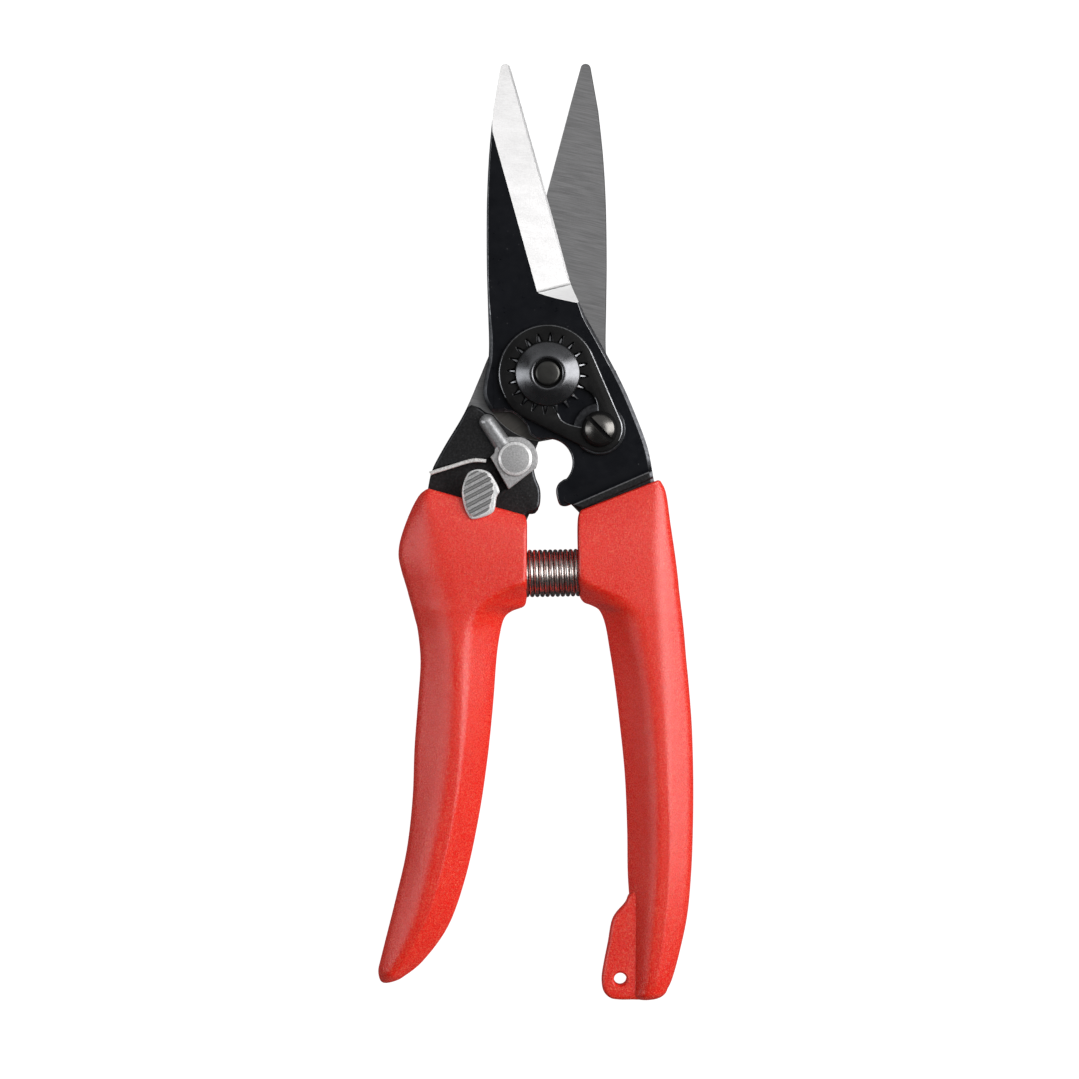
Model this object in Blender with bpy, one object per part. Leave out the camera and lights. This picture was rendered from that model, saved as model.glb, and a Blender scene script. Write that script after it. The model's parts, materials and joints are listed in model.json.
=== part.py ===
"""Floral snips: two forged blades on a bolt, moulded grips, a coil spring between them and a thumb latch.

The drawing origin is the pivot axis at the plane where the blades meet. +X points to the right-hand
grip, +Y to the blade tips and +Z to the side that carries the pivot nut. Drawing units are millimetres.
The snips lie flat: the empty "pivot_axis" lifts the drawing so that the grips rest on Z = 0 and the
outline is centred on the world origin. Each half is drawn in its open position.
"""

import math

import bmesh
import bpy
from mathutils import Vector

MM = 0.001

# Overall layout
PIVOT = (2.685, 33.669, 6.60)
PLAY = 0.10
RUNNING_FIT = 0.06
BLADE_THICKNESS = 3.0
TANG_THICKNESS = 4.2
TANG_RISE = 0.6
INNER_FACE = PLAY / 2
OUTER_FACE = INNER_FACE + BLADE_THICKNESS
TANG_FACE = INNER_FACE + TANG_THICKNESS
BACK_BLADE_TURN = math.radians(0.77)
GRIP_LAND = -6.60
FAR = 60.0

# Pivot bolt, nut and the plate that locks the nut
SHANK_RADIUS = 4.0
THREAD_RADIUS = 2.5
BOLT_HEAD_RADIUS = 6.4
BOLT_HEAD_HEIGHT = 2.2
WASHER_THICKNESS = 0.5
WASHER_RADIUS = 7.0
PLATE_THICKNESS = 1.5
PLATE_BIG_RADIUS = 10.5
PLATE_SMALL_RADIUS = 5.0
SCREW_CENTRE = (11.05, -11.8)
SCREW_RADIUS = 2.0
SCREW_HEAD_RADIUS = 3.85
SCREW_SLOT_ANGLE = math.radians(-45.7)
NUT_DOME_RADIUS = 6.9
NUT_TEETH = 20
NUT_TOOTH_TIP = 8.45
NUT_TOOTH_ROOT = 6.4
NUT_TOOTH_HALF_TIP = 0.22
NUT_TOOTH_HALF_ROOT = 0.42
NUT_TOOTH_PHASE = math.radians(14.0)

# Thumb latch
RIVET = (-6.89, -18.06)
RIVET_RADIUS = 2.0
RIVET_HEAD_RADIUS = 3.68
HUB_RADIUS = 4.8
LEVER_THICKNESS = 1.6
LEVER_BASE = TANG_RISE - INNER_FACE + PLAY
POCKET_FLOOR = -1.05
NECK_TOP = 0.35
PAD_BASE = 5.9
PAD_THICKNESS = 1.3
NECK_ANGLE = math.radians(224)
NECK_HALF_WIDTH = 1.5

# Coil spring and its pockets
SPRING_Y = -42.2
SPRING_RADIUS = 4.95
SPRING_WIRE_RADIUS = 0.38
SPRING_TURNS = 28
SPRING_ENDS = (-16.3, 16.3)
POCKET_RADIUS = 5.35
STUD_RADIUS = 3.3
LEFT_BOSS_X = -4.4
RIGHT_BOSS_X = 6.4
STUD_SINK = 2.0

# Lanyard hole in the right-hand grip
LANYARD_HOLE = (15.55, -129.3)
LANYARD_RADIUS = 1.5
TAB_HALF_THICKNESS = 2.2

COLOURS = {
    "steel": ((0.62, 0.62, 0.63), 0.28, 1.0),
    "black": ((0.025, 0.026, 0.03), 0.45, 0.6),
    "zinc": ((0.60, 0.61, 0.62), 0.38, 1.0),
    "spring": ((0.42, 0.38, 0.36), 0.22, 1.0),
    "red": ((0.78, 0.07, 0.05), 0.55, 0.0),
}

# Blade from the spine round the tip to the heel of the cutting edge, front half
SPINE = [(-12.65, 2.7), (-12.5, 6.5), (-12.72, 14), (-12.97, 24), (-12.95, 36), (-12.5, 46.4), (-11.6, 56.2)]
TIP_CENTRE = (-9.0, 65.25)
TIP_RADIUS = 1.1
EDGE = [(-7.95, 65.6), (-5.9, 58.8), (-3.0, 48.5), (-0.4, 39.5), (5.0, 19.2)]
BEVEL_WIDTH = 7.45
BEVEL_DROP = 2.75
BEVEL_END = 17.3
FRONT_SHOULDER = [(5.5, 17.9), (6.5, 15.6)]

# Outer edge of the front tang, its run inside the grip, the nose and the finger notch
FRONT_TANG = [
    (8.0, 12.4), (11.75, 5.7), (15.8, -2.0), (18.8, -8.9), (21.3, -15.7), (22.6, -22.4),
    (24.2, -34.0), (26.2, -52.0), (27.5, -72.0), (27.4, -90.0), (26.4, -97.0),
    (23.2, -97.6), (21.9, -90.0), (20.3, -74.0), (18.9, -60.0), (18.4, -50.0), (18.4, -36.0),
    (16.5, -33.0), (9.5, -31.6), (7.6, -30.2), (6.6, -28.3),
]
FRONT_NOSE = [(5.3, -27.7), (3.9, -28.2), (2.6, -27.9), (2.0, -26.4), (1.8, -24.7), (2.3, -23.4), (3.4, -22.5)]
NOTCH_CENTRE = (0.2, -18.9)
NOTCH_RADIUS = 5.1
FRONT_HEEL = [
    (-2.7, -13.6), (-3.8, -12.7), (-4.5, -11.0), (-5.8, -9.4), (-7.9, -8.05), (-11.0, -8.15),
    (-11.9, -8.05), (-12.7, -7.1), (-13.5, -5.4), (-13.8, -3.5), (-13.35, -0.3),
]

# Back tang: under the nut, down the inner edge, inside the grip and up the outer edge
BACK_HEEL_RADIUS = 13.8
BACK_TANG_INNER = [
    (-2.3, -14.4), (-2.8, -16.5), (-2.95, -18.6), (-2.9, -20.4), (-2.5, -22.2), (-1.7, -24.2), (-1.5, -26.1),
    (-1.75, -28.1), (-2.6, -29.1), (-4.3, -29.6),
]
BACK_TANG = [
    (-6.2, -30.6), (-12.0, -32.0), (-17.0, -33.6), (-18.4, -36.5), (-18.4, -50.0), (-18.6, -62.0),
    (-19.4, -76.0), (-21.0, -88.0), (-23.6, -98.0), (-27.4, -98.2), (-26.6, -88.0), (-25.2, -74.0),
    (-24.6, -62.0), (-25.6, -50.0), (-27.4, -44.0), (-28.2, -38.0), (-27.4, -31.0), (-25.6, -24.2),
    (-24.7, -20.4), (-22.0, -15.3), (-17.9, -8.4), (-14.9, -1.6), (-12.75, 3.6), (-10.5, 8.5),
]
GROUND_RADIUS = 14.4
STEP_LINE = [(-30.0, 2.6), (-16.3, -6.55), (-13.3, -8.4), (-11.75, -8.35)]
FRONT_STEP_LINE = [(6.5, -27.2), (21.9, -20.5)]
BACK_STEP_LINE = [(-4.9, -27.7), (-25.1, -22.1)]

# Grip stations from the top: left point, right point, half thickness, squareness left and right
LEFT_GRIP = [
    ((-25.0, -24.4), (-5.4, -29.8), 4.8, 3.0, 6.0),
    ((-27.4, -25.6), (-4.5, -31.0), 5.3, 2.8, 7.0),
    ((-29.4, -29.6), (-4.4, -34.0), 6.1, 2.6, 8.0),
    ((-31.3, -34.8), (-4.4, -38.0), 6.6, 2.5, 8.0),
    ((-31.85, -38.6), (-4.4, -42.0), 6.8, 2.5, 8.0),
    ((-30.9, -43.0), (-4.4, -46.5), 6.8, 2.5, 8.0),
    ((-29.9, -46.3), (-4.6, -48.7), 6.8, 2.5, 7.0),
    ((-29.4, -48.2), (-5.6, -50.1), 6.8, 2.4, 6.0),
    ((-28.9, -50.0), (-7.6, -50.7), 6.8, 2.4, 4.5),
    ((-28.4, -52.0), (-9.2, -52.0), 6.75, 2.4, 3.4),
    ((-27.7, -55.0), (-10.1, -55.0), 6.7, 2.4, 2.8),
    ((-27.15, -61.5), (-10.9, -60.5), 6.6, 2.4, 2.5),
    ((-27.75, -70.5), (-11.7, -71.0), 6.5, 2.4, 2.4),
    ((-28.45, -80.0), (-12.9, -82.5), 6.4, 2.4, 2.4),
    ((-28.85, -90.5), (-14.7, -94.5), 6.2, 2.4, 2.4),
    ((-30.1, -101.5), (-17.4, -107.0), 5.9, 2.4, 2.4),
    ((-32.4, -111.8), (-21.2, -117.8), 5.3, 2.3, 2.3),
    ((-34.7, -121.0), (-26.7, -125.4), 4.3, 2.2, 2.2),
    ((-36.1, -126.6), (-31.2, -129.0), 3.2, 2.1, 2.1),
]
RIGHT_GRIP = [
    ((7.6, -28.9), (23.2, -22.3), 4.8, 6.0, 3.0),
    ((6.6, -30.4), (24.9, -24.6), 5.3, 7.0, 2.8),
    ((6.4, -34.0), (26.2, -32.0), 6.1, 8.0, 2.6),
    ((6.5, -39.0), (27.2, -38.8), 6.7, 8.0, 2.5),
    ((6.6, -44.0), (27.9, -44.3), 6.8, 8.0, 2.5),
    ((6.8, -47.2), (28.25, -47.8), 6.8, 7.0, 2.5),
    ((7.7, -48.7), (28.5, -49.9), 6.8, 6.0, 2.4),
    ((9.4, -49.4), (28.7, -51.4), 6.8, 4.5, 2.4),
    ((11.1, -50.5), (28.9, -53.2), 6.75, 3.4, 2.4),
    ((12.3, -53.4), (29.2, -56.2), 6.7, 2.8, 2.4),
    ((13.2, -58.4), (29.6, -61.0), 6.6, 2.5, 2.4),
    ((14.3, -65.5), (30.15, -66.7), 6.5, 2.4, 2.4),
    ((15.4, -74.5), (30.8, -75.5), 6.4, 2.4, 2.4),
    ((16.5, -85.5), (31.1, -86.5), 6.4, 2.4, 2.4),
    ((17.0, -97.0), (31.0, -97.5), 6.3, 2.4, 2.4),
    ((17.15, -107.0), (30.6, -107.0), 6.1, 2.4, 2.4),
    ((17.8, -116.0), (29.75, -115.8), 5.7, 2.4, 2.3),
    ((18.2, -124.0), (28.0, -124.0), 5.1, 2.3, 2.3),
    ((18.5, -129.6), (26.3, -129.6), 4.6, 2.2, 2.3),
]
LEFT_GRIP_END = ((-35.0, -130.3), 3)
RIGHT_GRIP_END = ((21.6, -133.8), 3)
GRIP_SIDES = 22
GRIP_STEPS = 2
TAB_OUTLINE = [
    (20.5, -109.0), (17.5, -111.0), (16.5, -113.2), (14.5, -115.3), (13.7, -117.3), (12.9, -121.4), (11.6, -128.3),
    (11.7, -130.3), (12.9, -132.4), (15.0, -133.7), (20.5, -133.7), (22.5, -125.0),
]


# ---------------------------------------------------------------- outlines

def arc(centre, radius, start, end, steps):
    """Points on a circle from start to end, in degrees, both ends included."""
    angles = [math.radians(start + (end - start) * i / steps) for i in range(steps + 1)]
    return [(centre[0] + radius * math.cos(a), centre[1] + radius * math.sin(a)) for a in angles]


def through(points, steps, closed=False):
    """A Catmull-Rom curve through points of any dimension, with steps pieces between neighbours."""
    count = len(points)
    found = []
    for i in range(count if closed else count - 1):
        if closed:
            p = [points[(i + k) % count] for k in (-1, 0, 1, 2)]
        else:
            p = [points[min(max(i + k, 0), count - 1)] for k in (-1, 0, 1, 2)]
        for s in range(steps):
            t = s / steps
            found.append(tuple(
                0.5 * (2 * b + (c - a) * t + (2 * a - 5 * b + 4 * c - d) * t * t + (3 * b - a - 3 * c + d) * t ** 3)
                for a, b, c, d in zip(*p)
            ))
    if not closed:
        found.append(tuple(points[-1]))
    return found


def turned(points, angle):
    c, s = math.cos(angle), math.sin(angle)
    return [(x * c - y * s, x * s + y * c) for x, y in points]


def mirrored(points):
    return [(-x, y) for x, y in points]


def offset_from(line, distance):
    """A straight line between two points, moved sideways to its left."""
    (x0, y0), (x1, y1) = line
    length = math.hypot(x1 - x0, y1 - y0)
    nx, ny = -(y1 - y0) / length, (x1 - x0) / length
    return [(x0 + nx * distance, y0 + ny * distance), (x1 + nx * distance, y1 + ny * distance)]


# ---------------------------------------------------------------- objects

def material(name):
    """A Principled material of the given finish, made once."""
    found = bpy.data.materials.get(name)
    if found:
        return found
    colour, roughness, metallic = COLOURS[name]
    found = bpy.data.materials.new(name)
    found.use_nodes = True
    shader = found.node_tree.nodes["Principled BSDF"]
    shader.inputs["Base Color"].default_value = (*colour, 1)
    shader.inputs["Roughness"].default_value = roughness
    shader.inputs["Metallic"].default_value = metallic
    return found


def link(name, data, finish, parent):
    made = bpy.data.objects.new(name, data)
    bpy.context.scene.collection.objects.link(made)
    made.parent = parent
    if finish:
        data.materials.append(material(finish))
    return made


def from_bmesh(name, bm, finish, parent, smooth=False):
    bmesh.ops.recalc_face_normals(bm, faces=bm.faces)
    bmesh.ops.scale(bm, vec=Vector((MM, MM, MM)), verts=bm.verts)
    data = bpy.data.meshes.new(name)
    bm.to_mesh(data)
    bm.free()
    if smooth:
        data.shade_smooth()
        data.set_sharp_from_angle(angle=math.radians(35))
    return link(name, data, finish, parent)


def prism_bmesh(outline, low, high):
    """An outline extruded from low to high; either may be a height or a function of (x, y)."""
    bm = bmesh.new()
    rings = []
    for level in (low, high):
        height = level if callable(level) else (lambda x, y, z=level: z)
        rings.append([bm.verts.new((x, y, height(x, y))) for x, y in outline])
    bm.faces.new(rings[0])
    bm.faces.new(rings[1])
    count = len(outline)
    for i in range(count):
        j = (i + 1) % count
        bm.faces.new((rings[0][i], rings[0][j], rings[1][j], rings[1][i]))
    return bm


def prism(name, outline, low, high, finish=None, parent=None):
    return from_bmesh(name, prism_bmesh(outline, low, high), finish, parent)


def turned_bmesh(profile, sides):
    """A closed profile of (radius, height) points turned round the Z axis; radius 0 makes a pole."""
    bm = bmesh.new()
    rings = []
    for radius, height in profile:
        if radius < 1e-6:
            rings.append([bm.verts.new((0, 0, height))] * sides)
        else:
            angles = [2 * math.pi * k / sides for k in range(sides)]
            rings.append([bm.verts.new((radius * math.cos(a), radius * math.sin(a), height)) for a in angles])
    count = len(profile)
    for i in range(count):
        a, b = rings[i], rings[(i + 1) % count]
        for k in range(sides):
            corners = list(dict.fromkeys((a[k], a[(k + 1) % sides], b[(k + 1) % sides], b[k])))
            if len(corners) > 2:
                bm.faces.new(corners)
    return bm


def turned_solid(name, profile, sides, finish=None, parent=None):
    return from_bmesh(name, turned_bmesh(profile, sides), finish, parent, smooth=True)


def hidden(cutter):
    cutter.hide_render = True
    cutter.display_type = "WIRE"
    return cutter


def boolean(target, other, operation="DIFFERENCE"):
    hidden(other)
    change = target.modifiers.new(other.name, "BOOLEAN")
    change.operation = operation
    change.object = other
    change.solver = "EXACT"


def drill(target, name, centre, radius, sides, low=-FAR, high=FAR):
    cutter = turned_solid(name, [(0, low), (radius, low), (radius, high), (0, high)], sides, None, target.parent)
    cutter.location = (centre[0] * MM, centre[1] * MM, 0)
    boolean(target, cutter)


# ---------------------------------------------------------------- blades

def blade_outline():
    """Spine, rounded tip and cutting edge of the front blade, from the pivot up and back down."""
    return through(SPINE, 3) + arc(TIP_CENTRE, TIP_RADIUS, 172, 18, 6) + through(EDGE, 3)


def front_outline():
    notch = arc(NOTCH_CENTRE, NOTCH_RADIUS, -42, 108, 14)
    tang = through(FRONT_TANG, 2)
    return blade_outline() + FRONT_SHOULDER + tang + through(FRONT_NOSE, 2) + notch + through(FRONT_HEEL, 2)


def back_outline():
    """The same blade seen from its other side, with the tang that carries the latch."""
    upper = turned(mirrored(blade_outline()), BACK_BLADE_TURN)[::-1]
    heel = arc((0, 0), BACK_HEEL_RADIUS, 0, -84, 12)
    return upper + heel + through(BACK_TANG_INNER, 2) + through(BACK_TANG, 2)


def bevel_cutter(name, facing, turn, parent):
    """The wedge that grinds the cutting bevel off a blade's outer face; facing is +1 front, -1 back."""
    top, heel = Vector(EDGE[0]), Vector(EDGE[-1])
    along = (heel - top).normalized()
    inward = Vector((along.y, -along.x))
    inner_top = top + inward * BEVEL_WIDTH - along * 12
    inner_low = inner_top + along * ((heel - top).length + 10.2)
    corner = heel + inward * (BEVEL_WIDTH - 3.0) + along * 1.6
    run_out = (heel.x + 0.3, BEVEL_END)
    outer = heel - inward * 6 + along * 0.6
    outline = [tuple(inner_top), tuple(inner_low), tuple(corner), run_out, (outer.x, BEVEL_END - 1.2)]
    outline += [tuple(top - inward * 6 - along * 12)]
    outline = through(outline[1:4], 4) + outline[4:] + outline[:1]

    def ground(x, y):
        depth = (Vector((x, y)) - top).dot(inward)
        return OUTER_FACE - BEVEL_DROP * (1 - depth / BEVEL_WIDTH)

    if facing > 0:
        return prism(name, outline, ground, FAR, None, parent)
    flipped = turned(mirrored(outline), turn)

    def ground_back(x, y):
        (mx, my), = mirrored(turned([(x, y)], -turn))
        return -ground(mx, my)

    return prism(name, flipped, ground_back, -FAR, None, parent)


def step_cutter(name, line, low, high, parent):
    """The block that mills a face flat on the tip side of a line across the tang."""
    (x0, y0), (x1, y1) = line
    side = FAR if x1 > x0 else -FAR
    far = 2 * FAR
    outline = [(x0 - side, y0 + (y0 - y1)), (x0, y0), (x1, y1), (x1 + side, y1 + (y1 - y0)), (side, far), (-side, far)]
    return prism(name, outline, low, high, None, parent)


def front_blade(parent):
    blade = prism("front_blade", front_outline(), INNER_FACE, TANG_FACE, "black", parent)
    boolean(blade, step_cutter("front_mill", FRONT_STEP_LINE, OUTER_FACE, FAR, parent))
    boolean(blade, bevel_cutter("front_bevel_wheel", 1, 0, parent))
    relief = [(-2.0, -21.0), (5.2, -21.0), (6.2, -24.5), (6.2, -29.4), (-2.0, -29.4)]
    boolean(blade, prism("nose_relief", relief, -FAR, TANG_RISE + 0.15, None, parent))
    drill(blade, "front_pivot_hole", (0, 0), SHANK_RADIUS + RUNNING_FIT, 48)
    drill(blade, "screw_thread", SCREW_CENTRE, SCREW_RADIUS + PLAY, 24, INNER_FACE + 0.8)
    return blade


def latch_pocket():
    """Plan of the pocket in the back tang where the lever's neck swings."""
    around_rivet = arc(RIVET, 2.9, 172, 262, 8)
    return [(-28.0, -21.1), (-24.9, -20.15), (-20.0, -18.85), (-16.5, -18.15), (-13.6, -17.8)] + around_rivet + [
        (-9.0, -24.4), (-12.2, -27.3), (-13.0, -29.2), (-28.0, -26.0)]


def back_blade(parent):
    blade = prism("back_blade", back_outline(), -TANG_FACE, TANG_RISE - INNER_FACE, "black", parent)
    ground = STEP_LINE + arc((0, 0), GROUND_RADIUS, 216.5, 350, 24) + [(FAR, 0), (FAR, 2 * FAR), (-FAR, 2 * FAR)]
    boolean(blade, prism("face_grinder", ground, -INNER_FACE, FAR, None, parent))
    boolean(blade, step_cutter("back_mill", BACK_STEP_LINE, -FAR, -OUTER_FACE, parent))
    boolean(blade, bevel_cutter("back_bevel_wheel", -1, BACK_BLADE_TURN, parent))
    boolean(blade, prism("latch_pocket_mill", latch_pocket(), POCKET_FLOOR, FAR, None, parent))
    drill(blade, "back_pivot_hole", (0, 0), SHANK_RADIUS + RUNNING_FIT, 48)
    drill(blade, "rivet_hole", RIVET, RIVET_RADIUS + PLAY, 32)
    return blade


# ---------------------------------------------------------------- grips

def grip_bmesh(stations, end):
    """Rings lofted through the stations, closed by a flat top and a rounded tail."""
    flat = [(*left, *right, half, nl, nr) for left, right, half, nl, nr in stations]
    rings = []
    for x0, y0, x1, y1, half, left, right in through(flat, GRIP_STEPS):
        rings.append(grip_ring(x0, y0, x1, y1, half, left, right))
    (ex, ey), steps = end
    last = flat[-1]
    for i in range(1, steps + 1):
        grow = math.sin(math.pi / 2 * i / (steps + 1))
        shrink = math.sqrt(1 - grow ** 2)
        mid = Vector(((last[0] + last[2]) / 2, (last[1] + last[3]) / 2))
        half_span = Vector(((last[2] - last[0]) / 2, (last[3] - last[1]) / 2)) * shrink
        centre = mid.lerp(Vector((ex, ey)), grow)
        ring = (centre.x - half_span.x, centre.y - half_span.y, centre.x + half_span.x, centre.y + half_span.y)
        rings.append(grip_ring(*ring, last[4] * shrink, last[5], last[6]))
    bm = bmesh.new()
    made = [[bm.verts.new(p) for p in ring] for ring in rings]
    bm.faces.new(made[0])
    for a, b in zip(made, made[1:]):
        for k in range(GRIP_SIDES):
            n = (k + 1) % GRIP_SIDES
            bm.faces.new((a[k], a[n], b[n], b[k]))
    tip = bm.verts.new((ex, ey, 0))
    for k in range(GRIP_SIDES):
        bm.faces.new((made[-1][k], made[-1][(k + 1) % GRIP_SIDES], tip))
    return bm


def grip_ring(x0, y0, x1, y1, half, left, right):
    """One closed cross-section: a superellipse whose squareness differs left and right."""
    ring = []
    for k in range(GRIP_SIDES):
        a = 2 * math.pi * (k + 0.5) / GRIP_SIDES
        c, s = math.cos(a), math.sin(a)
        power = 2 / (right if c > 0 else left)
        u = math.copysign(abs(c) ** power, c)
        w = math.copysign(abs(s) ** power, s)
        ring.append(((x0 + x1) / 2 + u * (x1 - x0) / 2, (y0 + y1) / 2 + u * (y1 - y0) / 2, w * half))
    return ring


def pocket_cutter(name, mouth, deep, parent):
    """The ring-shaped bore that seats one end of the spring round a moulded stud."""
    sign = 1 if mouth > deep else -1
    bm = turned_bmesh([
        (STUD_RADIUS, 0), (POCKET_RADIUS, 0), (POCKET_RADIUS, abs(mouth - deep) + 6),
        (0, abs(mouth - deep) + 6), (0, abs(mouth - deep) - STUD_SINK), (STUD_RADIUS, abs(mouth - deep) - STUD_SINK),
    ], 28)
    cutter = from_bmesh(name, bm, None, parent)
    cutter.location = (deep * MM, SPRING_Y * MM, 0)
    cutter.rotation_euler = (0, sign * math.pi / 2, 0)
    return cutter


def socket_cutter(name, outline, low, high, parent):
    """The hollow in a grip that its tang fills, a little wider than the tang on every side."""
    bm = prism_bmesh(outline, low - PLAY, high + PLAY)
    bmesh.ops.recalc_face_normals(bm, faces=bm.faces)
    sides = [v for v in bm.verts]
    for v in sides:
        flat = Vector((v.normal.x, v.normal.y, 0)) if v.normal.length else Vector()
        v.co += flat.normalized() * 0.2 if flat.length else flat
    return from_bmesh(name, bm, None, parent)


def level(grip, name, parent):
    """Cuts the flat land that the grip lies on."""
    outline = [(-FAR, -3 * FAR), (FAR, -3 * FAR), (FAR, FAR), (-FAR, FAR)]
    boolean(grip, prism(name, outline, -FAR, GRIP_LAND, None, parent))


def left_grip(parent):
    grip = from_bmesh("left_grip", grip_bmesh(LEFT_GRIP, LEFT_GRIP_END), "red", parent, smooth=True)
    tang = through(BACK_TANG, 2)
    buried = [p for p in tang if p[1] < -22.5]
    inner = [(-4.6, -26.0)]
    boolean(grip, socket_cutter("left_socket", inner + [(-4.8, -30.1)] + buried, -TANG_FACE, TANG_RISE - INNER_FACE, parent))
    boolean(grip, pocket_cutter("left_spring_pocket", LEFT_BOSS_X, SPRING_ENDS[0] - 0.4, parent))
    level(grip, "left_land", parent)
    return grip


def right_grip(parent):
    grip = from_bmesh("right_grip", grip_bmesh(RIGHT_GRIP, RIGHT_GRIP_END), "red", parent, smooth=True)
    boolean(grip, prism("lanyard_tab", TAB_OUTLINE, -TAB_HALF_THICKNESS, TAB_HALF_THICKNESS, None, parent), "UNION")
    tang = through(FRONT_TANG, 2)
    buried = [p for p in tang if p[1] < -20.0]
    boolean(grip, socket_cutter("right_socket", buried, INNER_FACE, TANG_FACE, parent))
    boolean(grip, pocket_cutter("right_spring_pocket", RIGHT_BOSS_X, SPRING_ENDS[1] + 0.4, parent))
    drill(grip, "lanyard_drill", LANYARD_HOLE, LANYARD_RADIUS, 24)
    level(grip, "right_land", parent)
    return grip


# ---------------------------------------------------------------- pivot set

def pivot_bolt(parent):
    head_top = -OUTER_FACE - 2 * PLAY - WASHER_THICKNESS
    head_low = head_top - BOLT_HEAD_HEIGHT
    profile = [
        (0, head_low), (BOLT_HEAD_RADIUS - 0.7, head_low), (BOLT_HEAD_RADIUS, head_low + 0.7),
        (BOLT_HEAD_RADIUS, head_top), (SHANK_RADIUS, head_top), (SHANK_RADIUS, OUTER_FACE - 0.4),
        (THREAD_RADIUS, OUTER_FACE - 0.4), (THREAD_RADIUS, 6.3), (THREAD_RADIUS - 0.3, 6.6), (0, 6.75),
    ]
    return turned_solid("pivot_bolt", profile, 48, "black", parent)


def pivot_washer(parent):
    top = -OUTER_FACE - PLAY
    low = top - WASHER_THICKNESS
    inner = SHANK_RADIUS + PLAY
    profile = [(inner, low), (WASHER_RADIUS, low), (WASHER_RADIUS, top), (inner, top)]
    return turned_solid("pivot_washer", profile, 48, "steel", parent)


def tooth_star(root, tip, half_root, half_tip):
    """The plan of a toothed ring: NUT_TEETH tapered teeth on a circle."""
    outline = []
    for k in range(NUT_TEETH):
        middle = NUT_TOOTH_PHASE + 2 * math.pi * k / NUT_TEETH
        for radius, half in ((root, -half_root), (tip, -half_tip), (tip, half_tip), (root, half_root)):
            outline += turned([(radius, half)], middle)
    return outline


def pivot_nut(parent):
    base = OUTER_FACE + PLAY
    rim = base + PLATE_THICKNESS + PLAY
    bore = THREAD_RADIUS + PLAY
    profile = [
        (bore, base), (NUT_TOOTH_ROOT - 0.2, base), (NUT_TOOTH_ROOT - 0.2, rim), (NUT_DOME_RADIUS, rim),
        (NUT_DOME_RADIUS, rim + 0.4), (6.3, rim + 1.2), (5.2, rim + 2.0), (4.2, rim + 2.3), (3.5, rim + 2.1),
        (3.2, rim + 1.7), (bore, rim + 1.6),
    ]
    nut = turned_solid("pivot_nut", profile, 40, "black", parent)
    star = tooth_star(NUT_TOOTH_ROOT, NUT_TOOTH_TIP, NUT_TOOTH_HALF_ROOT, NUT_TOOTH_HALF_TIP)
    ring = prism("nut_teeth", star, base + 0.2, base + PLATE_THICKNESS - 0.2, None, parent)
    hole = turned_solid("teeth_bore", [(0, -FAR), (5.5, -FAR), (5.5, FAR), (0, FAR)], 40, None, parent)
    boolean(ring, hole)
    boolean(nut, ring, "UNION")
    return nut


def plate_outline():
    """A teardrop: a big circle round the nut and a small one round the screw, joined by tangents."""
    heading = math.degrees(math.atan2(SCREW_CENTRE[1], SCREW_CENTRE[0]))
    reach = math.hypot(*SCREW_CENTRE)
    lean = math.degrees(math.asin((PLATE_BIG_RADIUS - PLATE_SMALL_RADIUS) / reach))
    big = arc((0, 0), PLATE_BIG_RADIUS, heading + 90 - lean, heading + 270 + lean, 30)
    small = arc(SCREW_CENTRE, PLATE_SMALL_RADIUS, heading - 90 + lean, heading + 90 - lean, 14)
    return big + small


def lock_plate(parent):
    low = OUTER_FACE + PLAY
    plate = prism("lock_plate", plate_outline(), low, low + PLATE_THICKNESS, "black", parent)
    slots = tooth_star(NUT_TOOTH_ROOT + 0.35, NUT_TOOTH_TIP + 0.25, NUT_TOOTH_HALF_ROOT + 0.2, NUT_TOOTH_HALF_TIP + 0.2)
    boolean(plate, prism("nut_slots", slots, low - 1, low + PLATE_THICKNESS + 1, None, parent))
    window = arc((0, 0), NUT_TOOTH_TIP + 0.75, -20, -76, 12) + arc(SCREW_CENTRE, 5.8, 180, 97, 8)
    boolean(plate, prism("plate_window", window, low - 1, low + PLATE_THICKNESS + 1, None, parent))
    drill(plate, "plate_screw_hole", SCREW_CENTRE, SCREW_RADIUS + PLAY, 24)
    return plate


def lock_screw(parent):
    seat = OUTER_FACE + 2 * PLAY + PLATE_THICKNESS
    profile = [
        (0, INNER_FACE + 1.2), (SCREW_RADIUS, INNER_FACE + 1.2), (SCREW_RADIUS, seat), (SCREW_HEAD_RADIUS, seat),
        (SCREW_HEAD_RADIUS, seat + 1.0), (3.4, seat + 1.7), (2.4, seat + 2.2), (1.2, seat + 2.4), (0, seat + 2.45),
    ]
    screw = turned_solid("lock_screw", profile, 32, "black", parent)
    screw.location = (SCREW_CENTRE[0] * MM, SCREW_CENTRE[1] * MM, 0)
    slot = prism("screw_slot", [(-6, -0.5), (6, -0.5), (6, 0.5), (-6, 0.5)], seat + 1.1, FAR, None, parent)
    slot.location = screw.location
    slot.rotation_euler = (0, 0, SCREW_SLOT_ANGLE)
    boolean(screw, slot)
    return screw


# ---------------------------------------------------------------- thumb latch

def lever_plan():
    """Hub, finger and corner of the lever's flat plate, round the rivet."""
    finger_tip = (-5.8, 7.7)
    end = arc(finger_tip, 1.88, 215, 37, 8)
    hub = arc((0, 0), HUB_RADIUS, 75, -25, 10)
    return [(-5.35, 0.35), (-4.55, 1.35), (-4.7, 2.5)] + end + [(-1.2, 4.7)] + hub + [(-1.35, -6.4)]


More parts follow.
